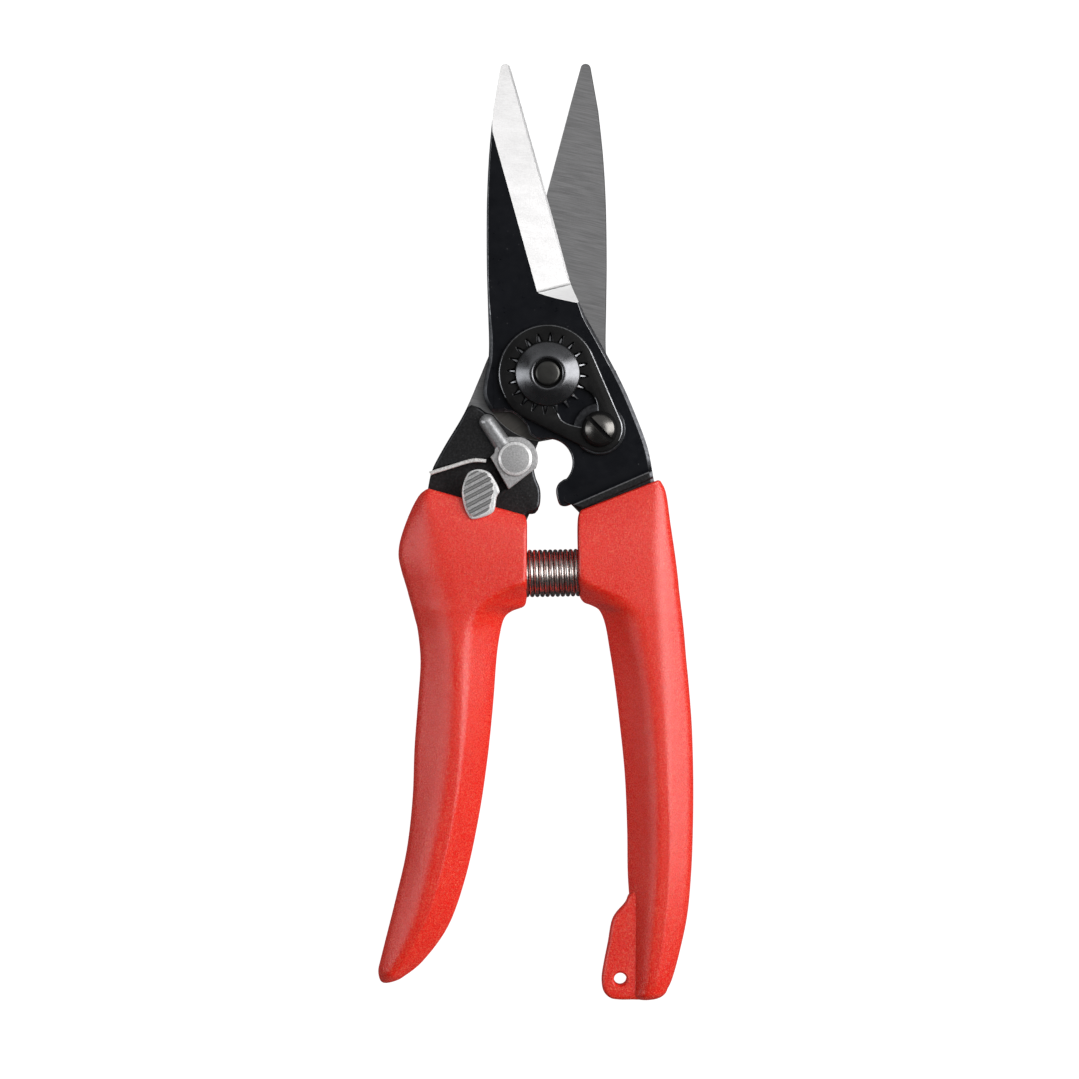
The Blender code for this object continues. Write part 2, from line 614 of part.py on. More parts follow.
def pad_plan():
    """The ribbed thumb pad, round the rivet."""
    return through([
        (-7.3, -2.6), (-5.4, -3.8), (-4.4, -5.9), (-4.9, -7.6), (-5.4, -9.2), (-7.2, -11.0), (-10.0, -11.9),
        (-11.1, -9.6), (-11.5, -6.6), (-10.4, -3.6),
    ], 2, closed=True)


def latch_lever(parent):
    """One bent pressing: flat hub, a neck that dips through the pocket, and the raised pad."""
    top = LEVER_BASE + LEVER_THICKNESS
    lever = prism("latch_lever", lever_plan(), LEVER_BASE, top, "zinc", parent)
    along = Vector((math.cos(NECK_ANGLE), math.sin(NECK_ANGLE)))
    across = Vector((-along.y, along.x)) * NECK_HALF_WIDTH
    floor = POCKET_FLOOR + 0.25
    side = [(3.2, floor), (8.6, floor), (8.6, PAD_BASE + 0.4), (6.9, PAD_BASE + 0.4), (5.9, NECK_TOP),
            (4.35, NECK_TOP), (4.35, top - 0.2), (3.2, top - 0.2)]
    bm = bmesh.new()
    rings = []
    for shift in (-1, 1):
        rings.append([bm.verts.new((*(along * r + across * shift), z)) for r, z in side])
    bm.faces.new(rings[0])
    bm.faces.new(rings[1])
    for i in range(len(side)):
        j = (i + 1) % len(side)
        bm.faces.new((rings[0][i], rings[0][j], rings[1][j], rings[1][i]))
    boolean(lever, from_bmesh("lever_neck", bm, None, parent), "UNION")
    pad = prism("lever_pad", pad_plan(), PAD_BASE, PAD_BASE + PAD_THICKNESS, None, parent)
    boolean(lever, pad, "UNION")
    drill(lever, "lever_hole", (0, 0), RIVET_RADIUS + RUNNING_FIT, 32)
    return lever


def latch_rivet(parent):
    """A shouldered rivet: broad flat head in front, peened tail behind the tang."""
    seat = LEVER_BASE + LEVER_THICKNESS + PLAY
    back = -OUTER_FACE - PLAY
    profile = [
        (0, back - 1.0), (1.6, back - 0.9), (2.6, back - 0.5), (2.9, back), (RIVET_RADIUS, back),
        (RIVET_RADIUS, seat), (RIVET_HEAD_RADIUS, seat), (RIVET_HEAD_RADIUS, seat + 0.6),
        (RIVET_HEAD_RADIUS - 0.5, seat + 0.9), (0, seat + 0.9),
    ]
    return turned_solid("latch_rivet", profile, 32, "zinc", parent)


def latch_spring(parent):
    """The detent strip: hooked over the tang's outer edge, it runs on edge to the underside of the hub."""
    centre = [(-25.3, -21.5), (-24.9, -20.95), (-22.5, -20.3), (-19.5, -19.5), (-16.5, -18.9), (-14.8, -18.7), (-13.3, -18.65)]
    tops = [1.2, 1.35, 1.35, 1.35, 1.3, 1.15, 0.5]
    half = 0.36
    bm = bmesh.new()
    rings = []
    for i, (x, y) in enumerate(centre):
        before, after = Vector(centre[max(i - 1, 0)]), Vector(centre[min(i + 1, len(centre) - 1)])
        normal = (after - before).normalized().orthogonal() * half
        floor = POCKET_FLOOR + PLAY
        rings.append([
            bm.verts.new((x + normal.x, y + normal.y, floor)), bm.verts.new((x - normal.x, y - normal.y, floor)),
            bm.verts.new((x - normal.x, y - normal.y, tops[i])), bm.verts.new((x + normal.x, y + normal.y, tops[i])),
        ])
    for a, b in zip(rings, rings[1:]):
        for k in range(4):
            n = (k + 1) % 4
            bm.faces.new((a[k], a[n], b[n], b[k]))
    bm.faces.new(rings[0])
    bm.faces.new(rings[-1])
    return from_bmesh("latch_spring", bm, "zinc", parent)


# ---------------------------------------------------------------- coil spring

def handle_spring(parent):
    """The compression spring between the grips, a wire swept along a helix."""
    steps = SPRING_TURNS * 12
    start, end = SPRING_ENDS
    radius = SPRING_RADIUS - SPRING_WIRE_RADIUS
    curve = bpy.data.curves.new("handle_spring", "CURVE")
    curve.dimensions = "3D"
    curve.bevel_depth = SPRING_WIRE_RADIUS * MM
    curve.bevel_resolution = 1
    curve.use_fill_caps = True
    line = curve.splines.new("POLY")
    line.points.add(steps)
    for i, point in enumerate(line.points):
        a = 2 * math.pi * SPRING_TURNS * i / steps
        x = start + 0.4 + (end - start - 0.8) * i / steps
        point.co = (x * MM, (SPRING_Y + radius * math.cos(a)) * MM, radius * math.sin(a) * MM, 1)
    return link("handle_spring", curve, "spring", parent)


# ---------------------------------------------------------------- assembly

def empty(name, place, parent=None):
    made = bpy.data.objects.new(name, None)
    bpy.context.scene.collection.objects.link(made)
    made.parent = parent
    made.location = [v * MM for v in place]
    return made


def main():
    for leftover in list(bpy.data.objects):
        bpy.data.objects.remove(leftover)
    pivot = empty("pivot_axis", PIVOT)
    latch_axis = empty("latch_axis", (*RIVET, 0), pivot)
    for build in (front_blade, back_blade, left_grip, right_grip, pivot_bolt, pivot_washer, pivot_nut,
                  lock_plate, lock_screw, latch_spring, handle_spring):
        build(pivot)
    latch_lever(latch_axis)
    latch_rivet(latch_axis)


main()
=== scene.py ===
"""Looks for the floral snips: detailed pieces over the CAD frame, studio light and the overhead camera.

Shapes are drawn in millimetres from the pivot axis, with Z = 0 where the blades meet, and then placed in
the row frame. Each detailed piece except the coil spring rides on the body of the CAD node that it replaces.
"""

import json
import math

import bmesh
import bpy
from mathutils import Matrix, Vector


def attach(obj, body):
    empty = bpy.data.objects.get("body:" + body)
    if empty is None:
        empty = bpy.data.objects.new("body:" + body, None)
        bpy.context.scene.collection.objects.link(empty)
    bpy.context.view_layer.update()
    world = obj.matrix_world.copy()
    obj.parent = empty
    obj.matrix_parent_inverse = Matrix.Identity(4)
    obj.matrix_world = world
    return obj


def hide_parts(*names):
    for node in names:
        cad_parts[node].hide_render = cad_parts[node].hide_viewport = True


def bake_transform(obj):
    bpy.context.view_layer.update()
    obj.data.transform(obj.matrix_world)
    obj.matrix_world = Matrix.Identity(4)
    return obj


MM = 0.001
FAR = 60.0  # beyond every cut
INNER = 0.05  # a blade's inner face, from the plane where they meet
OUTER = 3.05  # and its outer face
BACK_TURN = math.radians(0.77)  # how much wider than its mirror image the back blade stands
BORE = 4.06  # the blades' bore, as a radius
SPRING_Y = -42.2  # the coil spring's axis

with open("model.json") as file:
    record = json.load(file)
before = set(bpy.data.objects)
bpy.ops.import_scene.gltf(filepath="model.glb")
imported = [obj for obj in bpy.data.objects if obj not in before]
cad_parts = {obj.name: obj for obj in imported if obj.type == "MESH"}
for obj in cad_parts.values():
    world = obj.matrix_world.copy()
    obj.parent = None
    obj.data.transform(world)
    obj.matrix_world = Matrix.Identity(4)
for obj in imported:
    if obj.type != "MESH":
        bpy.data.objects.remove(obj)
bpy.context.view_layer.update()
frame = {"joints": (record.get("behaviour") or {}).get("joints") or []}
PIVOT = Vector([round(x / MM, 3) for x in frame["joints"][0]["pos_m"]])  # the handles' pivot, in millimetres


# ---- outlines

def clamp(value):
    return min(max(value, 0), 1)


def arc(centre, radius, start, end, steps):
    angles = [math.radians(start + (end - start) * i / steps) for i in range(steps + 1)]
    return [(centre[0] + radius * math.cos(a), centre[1] + radius * math.sin(a)) for a in angles]


def through(points, steps, closed=False):
    """A Catmull-Rom curve through points of any dimension."""
    count = len(points)
    found = []
    for i in range(count if closed else count - 1):
        if closed:
            p = [points[(i + k) % count] for k in (-1, 0, 1, 2)]
        else:
            p = [points[min(max(i + k, 0), count - 1)] for k in (-1, 0, 1, 2)]
        for s in range(steps):
            t = s / steps
            found.append(tuple(
                0.5 * (2 * b + (c - a) * t + (2 * a - 5 * b + 4 * c - d) * t * t
                       + (3 * b - a - 3 * c + d) * t ** 3)
                for a, b, c, d in zip(*p)
            ))
    if not closed:
        found.append(tuple(points[-1]))
    return found


def turned(points, angle):
    c, s = math.cos(angle), math.sin(angle)
    return [(x * c - y * s, x * s + y * c) for x, y in points]


def mirrored(points):
    return [(-x, y) for x, y in points]


def tidy(outline, gap=0.03):
    """The outline counter-clockwise, without points that almost coincide."""
    kept = []
    for p in outline:
        if not kept or math.dist(p, kept[-1]) > gap:
            kept.append(p)
    if math.dist(kept[0], kept[-1]) <= gap:
        kept.pop()
    area = sum(kept[i - 1][0] * p[1] - p[0] * kept[i - 1][1] for i, p in enumerate(kept))
    return kept if area > 0 else kept[::-1]


def inset(outline, distance):
    """Moves each point of a counter-clockwise outline inwards; distance may be a function of (x, y)."""
    found = []
    for i, (x, y) in enumerate(outline):
        before, after = outline[i - 1], outline[(i + 1) % len(outline)]
        first = Vector((x - before[0], y - before[1])).normalized()
        second = Vector((after[0] - x, after[1] - y)).normalized()
        side = Vector((-first.y, first.x))
        normal = side + Vector((-second.y, second.x))
        normal = normal.normalized() if normal.length > 1e-6 else side
        d = distance(x, y) if callable(distance) else distance
        d /= max(normal.dot(side), 0.6)
        found.append((x + normal.x * d, y + normal.y * d))
    return found


# ---- meshes

def linked(name, data):
    found = bpy.data.objects.new(name, data)
    bpy.context.scene.collection.objects.link(found)
    return found


def mesh_object(name, bm, finishes):
    data = bpy.data.meshes.new(name)
    bm.to_mesh(data)
    bm.free()
    for finish in finishes:
        data.materials.append(finish)
    return linked(name, data)


def smoothed(piece, angle):
    """Shades the piece smooth except across edges sharper than an angle in degrees."""
    piece.data.set_sharp_from_angle(angle=math.radians(angle))


def made(name, bm, finishes, angle=35):
    """The bmesh as an object in the row frame, smooth except across sharp edges and flat caps."""
    bmesh.ops.recalc_face_normals(bm, faces=bm.faces)
    bmesh.ops.transform(bm, matrix=Matrix.Scale(MM, 4) @ Matrix.Translation(PIVOT), verts=bm.verts)
    piece = mesh_object(name, bm, finishes)
    smoothed(piece, angle)
    return piece


def wall(bm, a, b, slot=0, closed=True):
    """Faces between two rows of vertices; doubled corners are left out."""
    for k in range(len(a) if closed else len(a) - 1):
        n = (k + 1) % len(a)
        corners = list(dict.fromkeys((a[k], a[n], b[n], b[k])))
        if len(corners) > 2:
            face = bm.faces.new(corners)
            face.smooth = True
            face.material_index = slot


def skinned(bm, rings):
    """Walls between successive rings of vertices, with a cap on the first and the last."""
    for a, b in zip(rings, rings[1:]):
        wall(bm, a, b)
    bm.faces.new(rings[0])
    bm.faces.new(rings[-1])


def layered(outline, layers, slots=None, caps=(0, 0)):
    """A solid of rings: each layer is (inset, height) of the outline, as numbers or functions of (x, y).

    slots gives the material of each wall, and caps those of the bottom and the top.
    """
    outline = tidy(outline)
    bm = bmesh.new()
    rings = []
    for distance, height in layers:
        ring = outline if distance == 0 else inset(outline, distance)
        rings.append([
            bm.verts.new((x, y, height(x, y) if callable(height) else height)) for x, y in ring
        ])
    for i, (a, b) in enumerate(zip(rings, rings[1:])):
        wall(bm, a, b, slots[i] if slots else 0)
    for ring, slot in ((rings[0], caps[0]), (rings[-1], caps[1])):
        face = bm.faces.new(ring)
        face.material_index = slot
    return bm


def rounded(low, high, radius, steps=4, bottom=None):
    """Layers of a slab with rounded top edges and, where bottom is given, rounded bottom edges."""
    layers = []
    if bottom:
        for k in range(steps):
            a = math.pi / 2 * k / steps
            layers.append((bottom * (1 - math.sin(a)), low + bottom * (1 - math.cos(a))))
        layers.append((0, low + bottom))
    else:
        layers.append((0, low))
    for k in range(steps + 1):
        a = math.pi / 2 * k / steps
        layers.append((radius * (1 - math.cos(a)), high - radius * (1 - math.sin(a))))
    return layers


def revolved(profile, sides, centre=(0, 0), slots=None):
    """A closed profile of (radius, height) turned round a vertical axis."""
    bm = bmesh.new()
    rings = []
    for radius, height in profile:
        if radius < 1e-6:
            rings.append([bm.verts.new((centre[0], centre[1], height))] * sides)
        else:
            rings.append([bm.verts.new((*p, height)) for p in arc(centre, radius, 0, 360, sides)[:-1]])
    for i, ring in enumerate(rings):
        wall(bm, ring, rings[(i + 1) % len(rings)], slots[i] if slots else 0)
    return bm


def swept(path, section):
    """A section of (across, up) points swept along a path of (x, y, z) points, capped at both ends."""
    bm = bmesh.new()
    rings = []
    for i, p in enumerate(path):
        before, after = Vector(path[max(i - 1, 0)]), Vector(path[min(i + 1, len(path) - 1)])
        along = (after - before).normalized()
        across = along.cross(Vector((0, 0, 1))).normalized()
        up = across.cross(along)
        rings.append([bm.verts.new(Vector(p) + across * u + up * v) for u, v in section])
    skinned(bm, rings)
    return bm


def carve(piece, cutter):
    """Cuts one mesh out of another; the new faces take over the cutter's materials."""
    change = piece.modifiers.new("carve", "BOOLEAN")
    change.operation = "DIFFERENCE"
    change.object = cutter
    change.solver = "EXACT"
    change.material_mode = "TRANSFER"
    shown = piece.evaluated_get(bpy.context.evaluated_depsgraph_get())
    data = bpy.data.meshes.new_from_object(shown)
    piece.modifiers.clear()
    piece.data = data
    bpy.data.objects.remove(cutter)


def joined(name, pieces):
    """Several meshes as one object, keeping their materials."""
    finishes = []
    bm = bmesh.new()
    for piece in pieces:
        start = len(bm.faces)
        bm.from_mesh(piece.data)
        bm.faces.ensure_lookup_table()
        places = []
        for finish in piece.data.materials:
            if finish not in finishes:
                finishes.append(finish)
            places.append(finishes.index(finish))
        for face in bm.faces[start:]:
            face.material_index = places[face.material_index]
        bpy.data.objects.remove(piece)
    return mesh_object(name, bm, finishes)


def stands_for(piece, node, body):
    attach(piece, body)
    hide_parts(node)


# ---- finishes

def scaled(colour, factor):
    return tuple(min(c * factor, 1) for c in colour)


def preset(node, **values):
    """Sets a node's sockets by name, with _ for a space."""
    for socket, value in values.items():
        node.inputs[socket.replace("_", " ")].default_value = value


class Finish:
    """A Principled material with procedural detail in object coordinates, which are metres."""

    def __init__(self, name, colour, roughness, metallic=0.0, **sockets):
        self.material = bpy.data.materials.new(name)
        self.material.use_nodes = True
        self.tree = self.material.node_tree
        self.shader = self.tree.nodes["Principled BSDF"]
        self.place = self.node("TexCoord").outputs["Object"]
        preset(self.shader, Base_Color=(*colour, 1), Roughness=roughness, Metallic=metallic, **sockets)

    def node(self, kind, **settings):
        found = self.tree.nodes.new("ShaderNode" + kind)
        for key, value in settings.items():
            setattr(found, key, value)
        return found

    def join(self, source, target):
        self.tree.links.new(source, target)

    def grain(self, size, detail=3, stretch=(1, 1, 1), turn=0.0, roughness=0.55, bend=0.0):
        """Noise whose features are about size millimetres, drawn out by stretch after a turn about Z."""
        mapping = self.node("Mapping", vector_type="TEXTURE")
        preset(mapping, Rotation=(0, 0, turn), Scale=stretch)
        place = self.bent(self.place, bend) if bend else self.place
        self.join(place, mapping.inputs["Vector"])
        noise = self.node("TexNoise")
        preset(noise, Scale=1 / (size * MM), Detail=detail, Roughness=roughness)
        self.join(mapping.outputs["Vector"], noise.inputs["Vector"])
        return noise.outputs["Fac"]

    def bent(self, place, bend):
        """Coordinates whose Y is bent by X, for grinding marks left by a big wheel."""
        split = self.node("SeparateXYZ")
        self.join(place, split.inputs[0])
        curve = self.math("MULTIPLY", self.math("MULTIPLY", split.outputs["X"], split.outputs["X"]), bend)
        merge = self.node("CombineXYZ")
        self.join(split.outputs["X"], merge.inputs["X"])
        self.join(self.math("ADD", split.outputs["Y"], curve), merge.inputs["Y"])
        self.join(split.outputs["Z"], merge.inputs["Z"])
        return merge.outputs[0]

    def math(self, operation, a, b):
        found = self.node("Math", operation=operation)
        for socket, value in zip(found.inputs, (a, b)):
            if isinstance(value, (int, float)):
                socket.default_value = value
            else:
                self.join(value, socket)
        return found.outputs[0]

    def spread(self, value, low, high, to_low, to_high):
        found = self.node("MapRange")
        self.join(value, found.inputs["Value"])
        preset(found, From_Min=low, From_Max=high, To_Min=to_low, To_Max=to_high)
        return found.outputs["Result"]

    def cloud(self, size, detail, low, high, to_low=0, to_high=1, **shape):
        """Noise from low to high stretched to the range from to_low to to_high."""
        return self.spread(self.grain(size, detail, **shape), low, high, to_low, to_high)

    def tint(self, factor, low, high, below=None):
        """A colour between low, or an earlier colour below, and high."""
        found = self.node("Mix", data_type="RGBA")
        self.join(factor, found.inputs["Factor"])
        if below is None:
            found.inputs["A"].default_value = (*low, 1)
        else:
            self.join(below, found.inputs["A"])
        found.inputs["B"].default_value = (*high, 1)
        self.join(found.outputs["Result"], self.shader.inputs["Base Color"])
        return found.outputs["Result"]

    def gloss(self, value):
        self.join(value, self.shader.inputs["Roughness"])

    def bump(self, height, strength, distance):
        found = self.node("Bump")
        preset(found, Strength=strength, Distance=distance * MM)
        self.join(height, found.inputs["Height"])
        self.join(found.outputs["Normal"], self.shader.inputs["Normal"])


def red_plastic():
    """Fine orange-peel moulding with darker grains, and lighter orange grains that are both grain and painted
    sparkle.
    """
    f = Finish("red_grip", (0.92, 0.026, 0.010), 0.28, 0.0, Specular_IOR_Level=1.0)
    colour = f.tint(f.cloud(14, 2, 0.35, 0.65), (0.88, 0.012, 0.005), (0.92, 0.017, 0.007))
    # lighter orange specks: the moulding's grain together with painted sparkle of light on it
    colour = f.tint(f.cloud(0.29, 1, 0.51, 0.70), None, (1.0, 0.14, 0.07), below=colour)
    f.tint(f.cloud(0.33, 1, 0.31, 0.49, 0.40, 0), None, (0.60, 0.010, 0.006), below=colour)
    f.gloss(f.cloud(0.3, 1, 0.3, 0.7, 0.22, 0.34))
    f.bump(f.grain(0.29, 2), 1.0, 0.08)
    return f.material


def coat(name, colour, roughness, mottled=0.5, specks=True):
    """A dark coat or oxide, mottled and with a few pale specks."""
    f = Finish(name, colour, roughness, 0.0, Specular_IOR_Level=0.17)
    lighter = tuple(c * 1.7 + 0.001 for c in colour)
    shade = f.tint(f.cloud(6, 4, 0.35, 0.7, 0, mottled), colour, lighter)
    if specks:
        f.tint(f.cloud(0.7, 1, 0.76, 0.80, 0, 0.5, roughness=0.4), None, (0.07, 0.07, 0.075), below=shade)
    f.gloss(f.cloud(1.5, 4, 0.3, 0.7, roughness - 0.07, roughness + 0.07))
    f.bump(f.grain(0.35, 2), 0.25, 0.012)
    return f.material


def edge_wear_and_highlight(name, colour, roughness, metallic=1.0):
    """Bare metal where the coat has rubbed off an edge; also lighter lines that are painted highlights along
    edges and the forged lip.
    """
    f = Finish(name, colour, roughness, metallic)
    f.tint(f.cloud(0.9, 3, 0.35, 0.65), scaled(colour, 0.62), colour)
    f.gloss(f.cloud(0.5, 2, 0.3, 0.7, roughness - 0.06, roughness + 0.08))
    return f.material


def ground_steel(name, colour, roughness, turn, size, contrast, bend=0.0, long=60, metallic=1.0, broad=0.3):
    """Steel with parallel grinding marks; turn is the marks' direction about Z, in degrees."""
    f = Finish(name, colour, roughness, metallic)
    turn = math.radians(turn)
    marks = f.grain(size, 3, (long, 1, 1), turn, bend=bend)
    bands = f.grain(size * 9, 2, (long / 5, 1, 1), turn, bend=bend)
    both = f.math("ADD", f.math("MULTIPLY", marks, 1 - broad), f.math("MULTIPLY", bands, broad))
    f.tint(f.spread(both, 0.36, 0.64, 0, 1), scaled(colour, 1 - contrast), scaled(colour, 1 + contrast))
    f.gloss(f.spread(marks, 0.3, 0.7, roughness - 0.05, roughness + 0.07))
    f.bump(marks, 0.3, 0.01)
    return f.material


def blasted(name, colour):
    """Shot-blasted black steel, rough and flecked."""
    f = Finish(name, colour, 0.55, 0.3)
    shade = f.tint(f.cloud(0.45, 2, 0.4, 0.68), scaled(colour, 0.6), scaled(colour, 1.9))
    f.tint(f.cloud(0.5, 1, 0.70, 0.78, 0, 0.5), None, (0.09, 0.09, 0.095), below=shade)
    f.gloss(f.cloud(0.5, 2, 0.3, 0.7, 0.4, 0.68))
    f.bump(f.grain(0.5, 2), 0.8, 0.06)
    return f.material


def tumbled(name, colour, roughness, metallic=1.0):
    """Plated steel, finely pitted by tumbling."""
    f = Finish(name, colour, roughness, metallic)
    f.tint(f.cloud(0.35, 3, 0.36, 0.64), scaled(colour, 0.78), scaled(colour, 1.15))
    f.gloss(f.cloud(0.8, 3, 0.3, 0.7, roughness - 0.08, roughness + 0.08))
    f.bump(f.grain(0.3, 2), 0.35, 0.02)
    return f.material


def satin(name, colour, roughness):
    """Turned metal with a soft shine."""
    f = Finish(name, colour, roughness, 1.0)
    f.tint(f.cloud(1.6, 3, 0.36, 0.64), scaled(colour, 0.9), scaled(colour, 1.08))
    f.gloss(f.cloud(1.1, 3, 0.3, 0.7, roughness - 0.03, roughness + 0.03))
    f.bump(f.grain(0.5, 2), 0.15, 0.006)
    return f.material


def wire():
    f = Finish("spring_wire", (0.80, 0.72, 0.69), 0.29, 1.0)
    f.tint(f.cloud(2.5, 2, 0.35, 0.65), (0.70, 0.60, 0.57), (0.88, 0.81, 0.78))
    f.gloss(f.cloud(0.6, 3, 0.3, 0.7, 0.22, 0.34))
    return f.material


RED = red_plastic()
BLACK = coat("black_coat", (0.0050, 0.0056, 0.0076), 0.34)
EDGE = edge_wear_and_highlight("coat_edge", (0.40, 0.41, 0.43), 0.30)
SOFT_EDGE = edge_wear_and_highlight("coat_soft_edge", (0.13, 0.134, 0.145), 0.36)
# the forged lip's crest takes this lighter, duller edge finish: a painted highlight line
LIP_HIGHLIGHT = edge_wear_and_highlight("lip_painted_highlight", (0.17, 0.17, 0.18), 0.40, 0.3)
BEVEL = ground_steel("polished_bevel", (0.54, 0.54, 0.545), 0.40, -3, 0.30, 0.14, long=24)
# the run-out is drawn nearly white and mostly non-metallic: its brightness is a painted reflection of the
# polished steel
RUN_OUT = ground_steel("run_out", (0.99, 0.99, 1.0), 0.42, 8, 0.3, 0.05, metallic=0.15)
KEEN = ground_steel("keen_edge", (0.80, 0.80, 0.81), 0.34, -74, 0.3, 0.2)
BRUSHED = ground_steel("brushed_face", (0.275, 0.275, 0.28), 0.42, -11, 0.22, 0.16,
                       bend=2.0, long=24, metallic=0.6, broad=0.2)
LENS = ground_steel("bearing_face", (0.115, 0.108, 0.10), 0.42, 35, 0.5, 0.12, long=8, metallic=0.7)
TANG = blasted("blasted_tang", (0.0115, 0.0115, 0.0125))
# black oxide, the lock plate's own finish; also painted shade on the latch's neck, the nut's rim and bore, and
# the screw's lower rim and slot
OXIDE_AND_SHADE = coat("black_oxide", (0.0060, 0.0060, 0.0062), 0.45, 0.9, specks=False)
NUT = satin("satin_nut", (0.226, 0.230, 0.244), 0.27)
BOLT = satin("bolt_end", (0.122, 0.121, 0.115), 0.38)
SCREW = satin("screw_bronze", (0.225, 0.218, 0.208), 0.27)
ZINC = tumbled("latch_zinc", (0.47, 0.47, 0.475), 0.45, 0.4)
# a lighter copy of the latch zinc for rims: painted highlight
ZINC_HIGHLIGHT = tumbled("latch_painted_highlight", (0.90, 0.90, 0.91), 0.34, 0.3)
ZINC_SMOOTH = tumbled("latch_smooth", (0.56, 0.565, 0.58), 0.36, 0.75)
# a darker copy of the latch zinc for the pad's grooves: painted shade
ZINC_GROOVE_SHADE = tumbled("latch_groove_painted_shade", (0.27, 0.27, 0.27), 0.5, 0.4)
STRIP = tumbled("strip_steel", (0.86, 0.85, 0.84), 0.30, 0.35)
WIRE = wire()


# ---- blades

SPINE = [(-12.65, 2.7), (-12.5, 6.5), (-12.72, 14), (-12.97, 24), (-12.95, 36), (-12.5, 46.4), (-11.6, 56.2)]
CUT = [(-7.95, 65.6), (-5.9, 58.8), (-3, 48.5), (-0.4, 39.5), (5, 19.2)]
FRONT_TANG = through([
    (8, 12.4), (11.75, 5.7), (15.8, -2), (18.8, -8.9), (21.3, -15.7), (22.6, -22.4), (23.4, -27),
    (23.2, -34),
], 6)
FRONT_NOSE = [(5.3, -27.7), (3.9, -28.2), (2.6, -27.9), (2, -26.4), (1.8, -24.7), (2.3, -23.4), (3.4, -22.5)]
FRONT_HEEL = [
    (-2.7, -13.6), (-3.8, -12.7), (-4.5, -11), (-5.8, -9.4), (-7.9, -8.05), (-11, -8.15),
    (-11.9, -8.05), (-12.7, -7.1), (-13.5, -5.4), (-13.8, -3.5), (-13.35, -0.3),
]
BACK_INNER = [
    (-2.3, -14.4), (-2.8, -16.5), (-2.95, -18.6), (-2.9, -20.4), (-2.5, -22.2), (-1.7, -24.2), (-1.5, -26.1),
    (-1.75, -28.1), (-2.6, -29.1), (-4.3, -29.6),
]
BACK_OUTER = through([
    (-25.6, -24.2), (-24.7, -20.4), (-22, -15.3), (-17.9, -8.4), (-14.9, -1.6), (-12.75, 3.6), (-10.5, 8.5),
], 6)
BACK_BURIED = [(-4.9, -30.8), (-6.2, -32), (-12, -33), (-22, -33), (-25.8, -31)]
BEVEL_WIDTH = 7.45
BEVEL_DROP = 2.75
EDGE_TOP, EDGE_HEEL = Vector(CUT[0]), Vector(CUT[-1])
ALONG = (EDGE_HEEL - EDGE_TOP).normalized()
INWARD = Vector((ALONG.y, -ALONG.x))
RUN_OUT_START = 48.0  # from the bevel's tip, along the edge


def blade_top():
    return through(SPINE, 6) + arc((-9.0, 65.25), 1.1, 172, 18, 10) + through(CUT, 6)


def front_outline():
    shoulder = [(5.5, 17.9), (6.5, 15.6)]
    grip_end = [(16.5, -34), (9.5, -33), (7.6, -30.2), (6.6, -28.3)]
    notch = arc((0.2, -18.9), 5.1, -42, 108, 28)
    tang = FRONT_TANG + grip_end + through(FRONT_NOSE, 5)
    return blade_top() + shoulder + tang + notch + through(FRONT_HEEL, 5)


def back_outline():
    upper = turned(mirrored(blade_top()), BACK_TURN)[::-1]
    heel = arc((0, 0), 13.8, 0, -84, 24)
    return upper + heel + through(BACK_INNER, 5) + BACK_BURIED + BACK_OUTER


def chamfer_width(x, y):
    """How far the front face stands back from the outline: broad on the tang's outer edge, fine elsewhere."""
    if x > 5.5 and -30 < y < 16:
        return 0.25 + 0.5 * clamp((16 - y) / 4)
    if y > 16 and (Vector((x, y)) - EDGE_TOP).dot(INWARD) < 1.5:
        return 0.02
    if x < -9 and y < 16:
        return 0.32 + 0.5 * min((16 - y) / 8, 1)
    return 0.32


def grinder(turn=None):
    """The cutting bevel's wheel: a flat slope that lifts out in a curve at the heel.

    With a turn it is the back blade's.
    """
    lengths = [-14 + 2.0 * i for i in range(30)] + [46.6 + 0.4 * i for i in range(30)]
    lengths = sorted(set(round(v, 3) for v in lengths))
    depths = [-8, -4, 0, 2, 4, 6, 8, 10, 14]
    bm = bmesh.new()
    rows = []
    for s in lengths:
        lift = 0.48 * max(s - RUN_OUT_START, 0) ** 1.18
        row = []
        for d in depths:
            x, y = EDGE_TOP + ALONG * s + INWARD * d
            z = OUTER - BEVEL_DROP * (1 - d / BEVEL_WIDTH) + lift
            if turn is not None:
                (x, y), = turned([(-x, y)], turn)
                z = -z
            row.append(bm.verts.new((x, y, z)))
        rows.append(row)
    height = FAR if turn is None else -FAR
    lid = [[bm.verts.new((v.co.x, v.co.y, height)) for v in row] for row in rows]
    for s, a, b in zip(lengths, rows, rows[1:]):
        wall(bm, a, b, 0 if s < RUN_OUT_START else 1, closed=False)
    for a, b in [*zip(lid, lid[1:]), (rows[0], lid[0]), (rows[-1], lid[-1])]:
        wall(bm, a, b, closed=False)
    for k in (0, -1):
        wall(bm, [row[k] for row in rows], [row[k] for row in lid], closed=False)
    return made("grinder", bm, [BEVEL, RUN_OUT])


def keen_wheel(turn=None):
    """The fine second bevel along the cutting edge."""
    points = []
    for s, d in ((-8, -3), (47.3, -3), (47.6, 0.0), (46.9, 1.2), (-8, 1.2)):
        points.append(tuple(EDGE_TOP + ALONG * s + INWARD * d))

    def slope(x, y):
        depth = (Vector((x, y)) - EDGE_TOP).dot(INWARD)
        return INNER + 0.05 + 0.85 * depth

    if turn is None:
        return made("keen_wheel", layered(points, [(0, slope), (0, FAR)]), [KEEN])

    def slope_back(x, y):
        (mx, my), = turned([(x, y)], -turn)
        return -slope(-mx, my)

    plan = turned(mirrored(points), turn)
    return made("keen_wheel", layered(plan, [(0, slope_back), (0, -FAR)]), [KEEN])


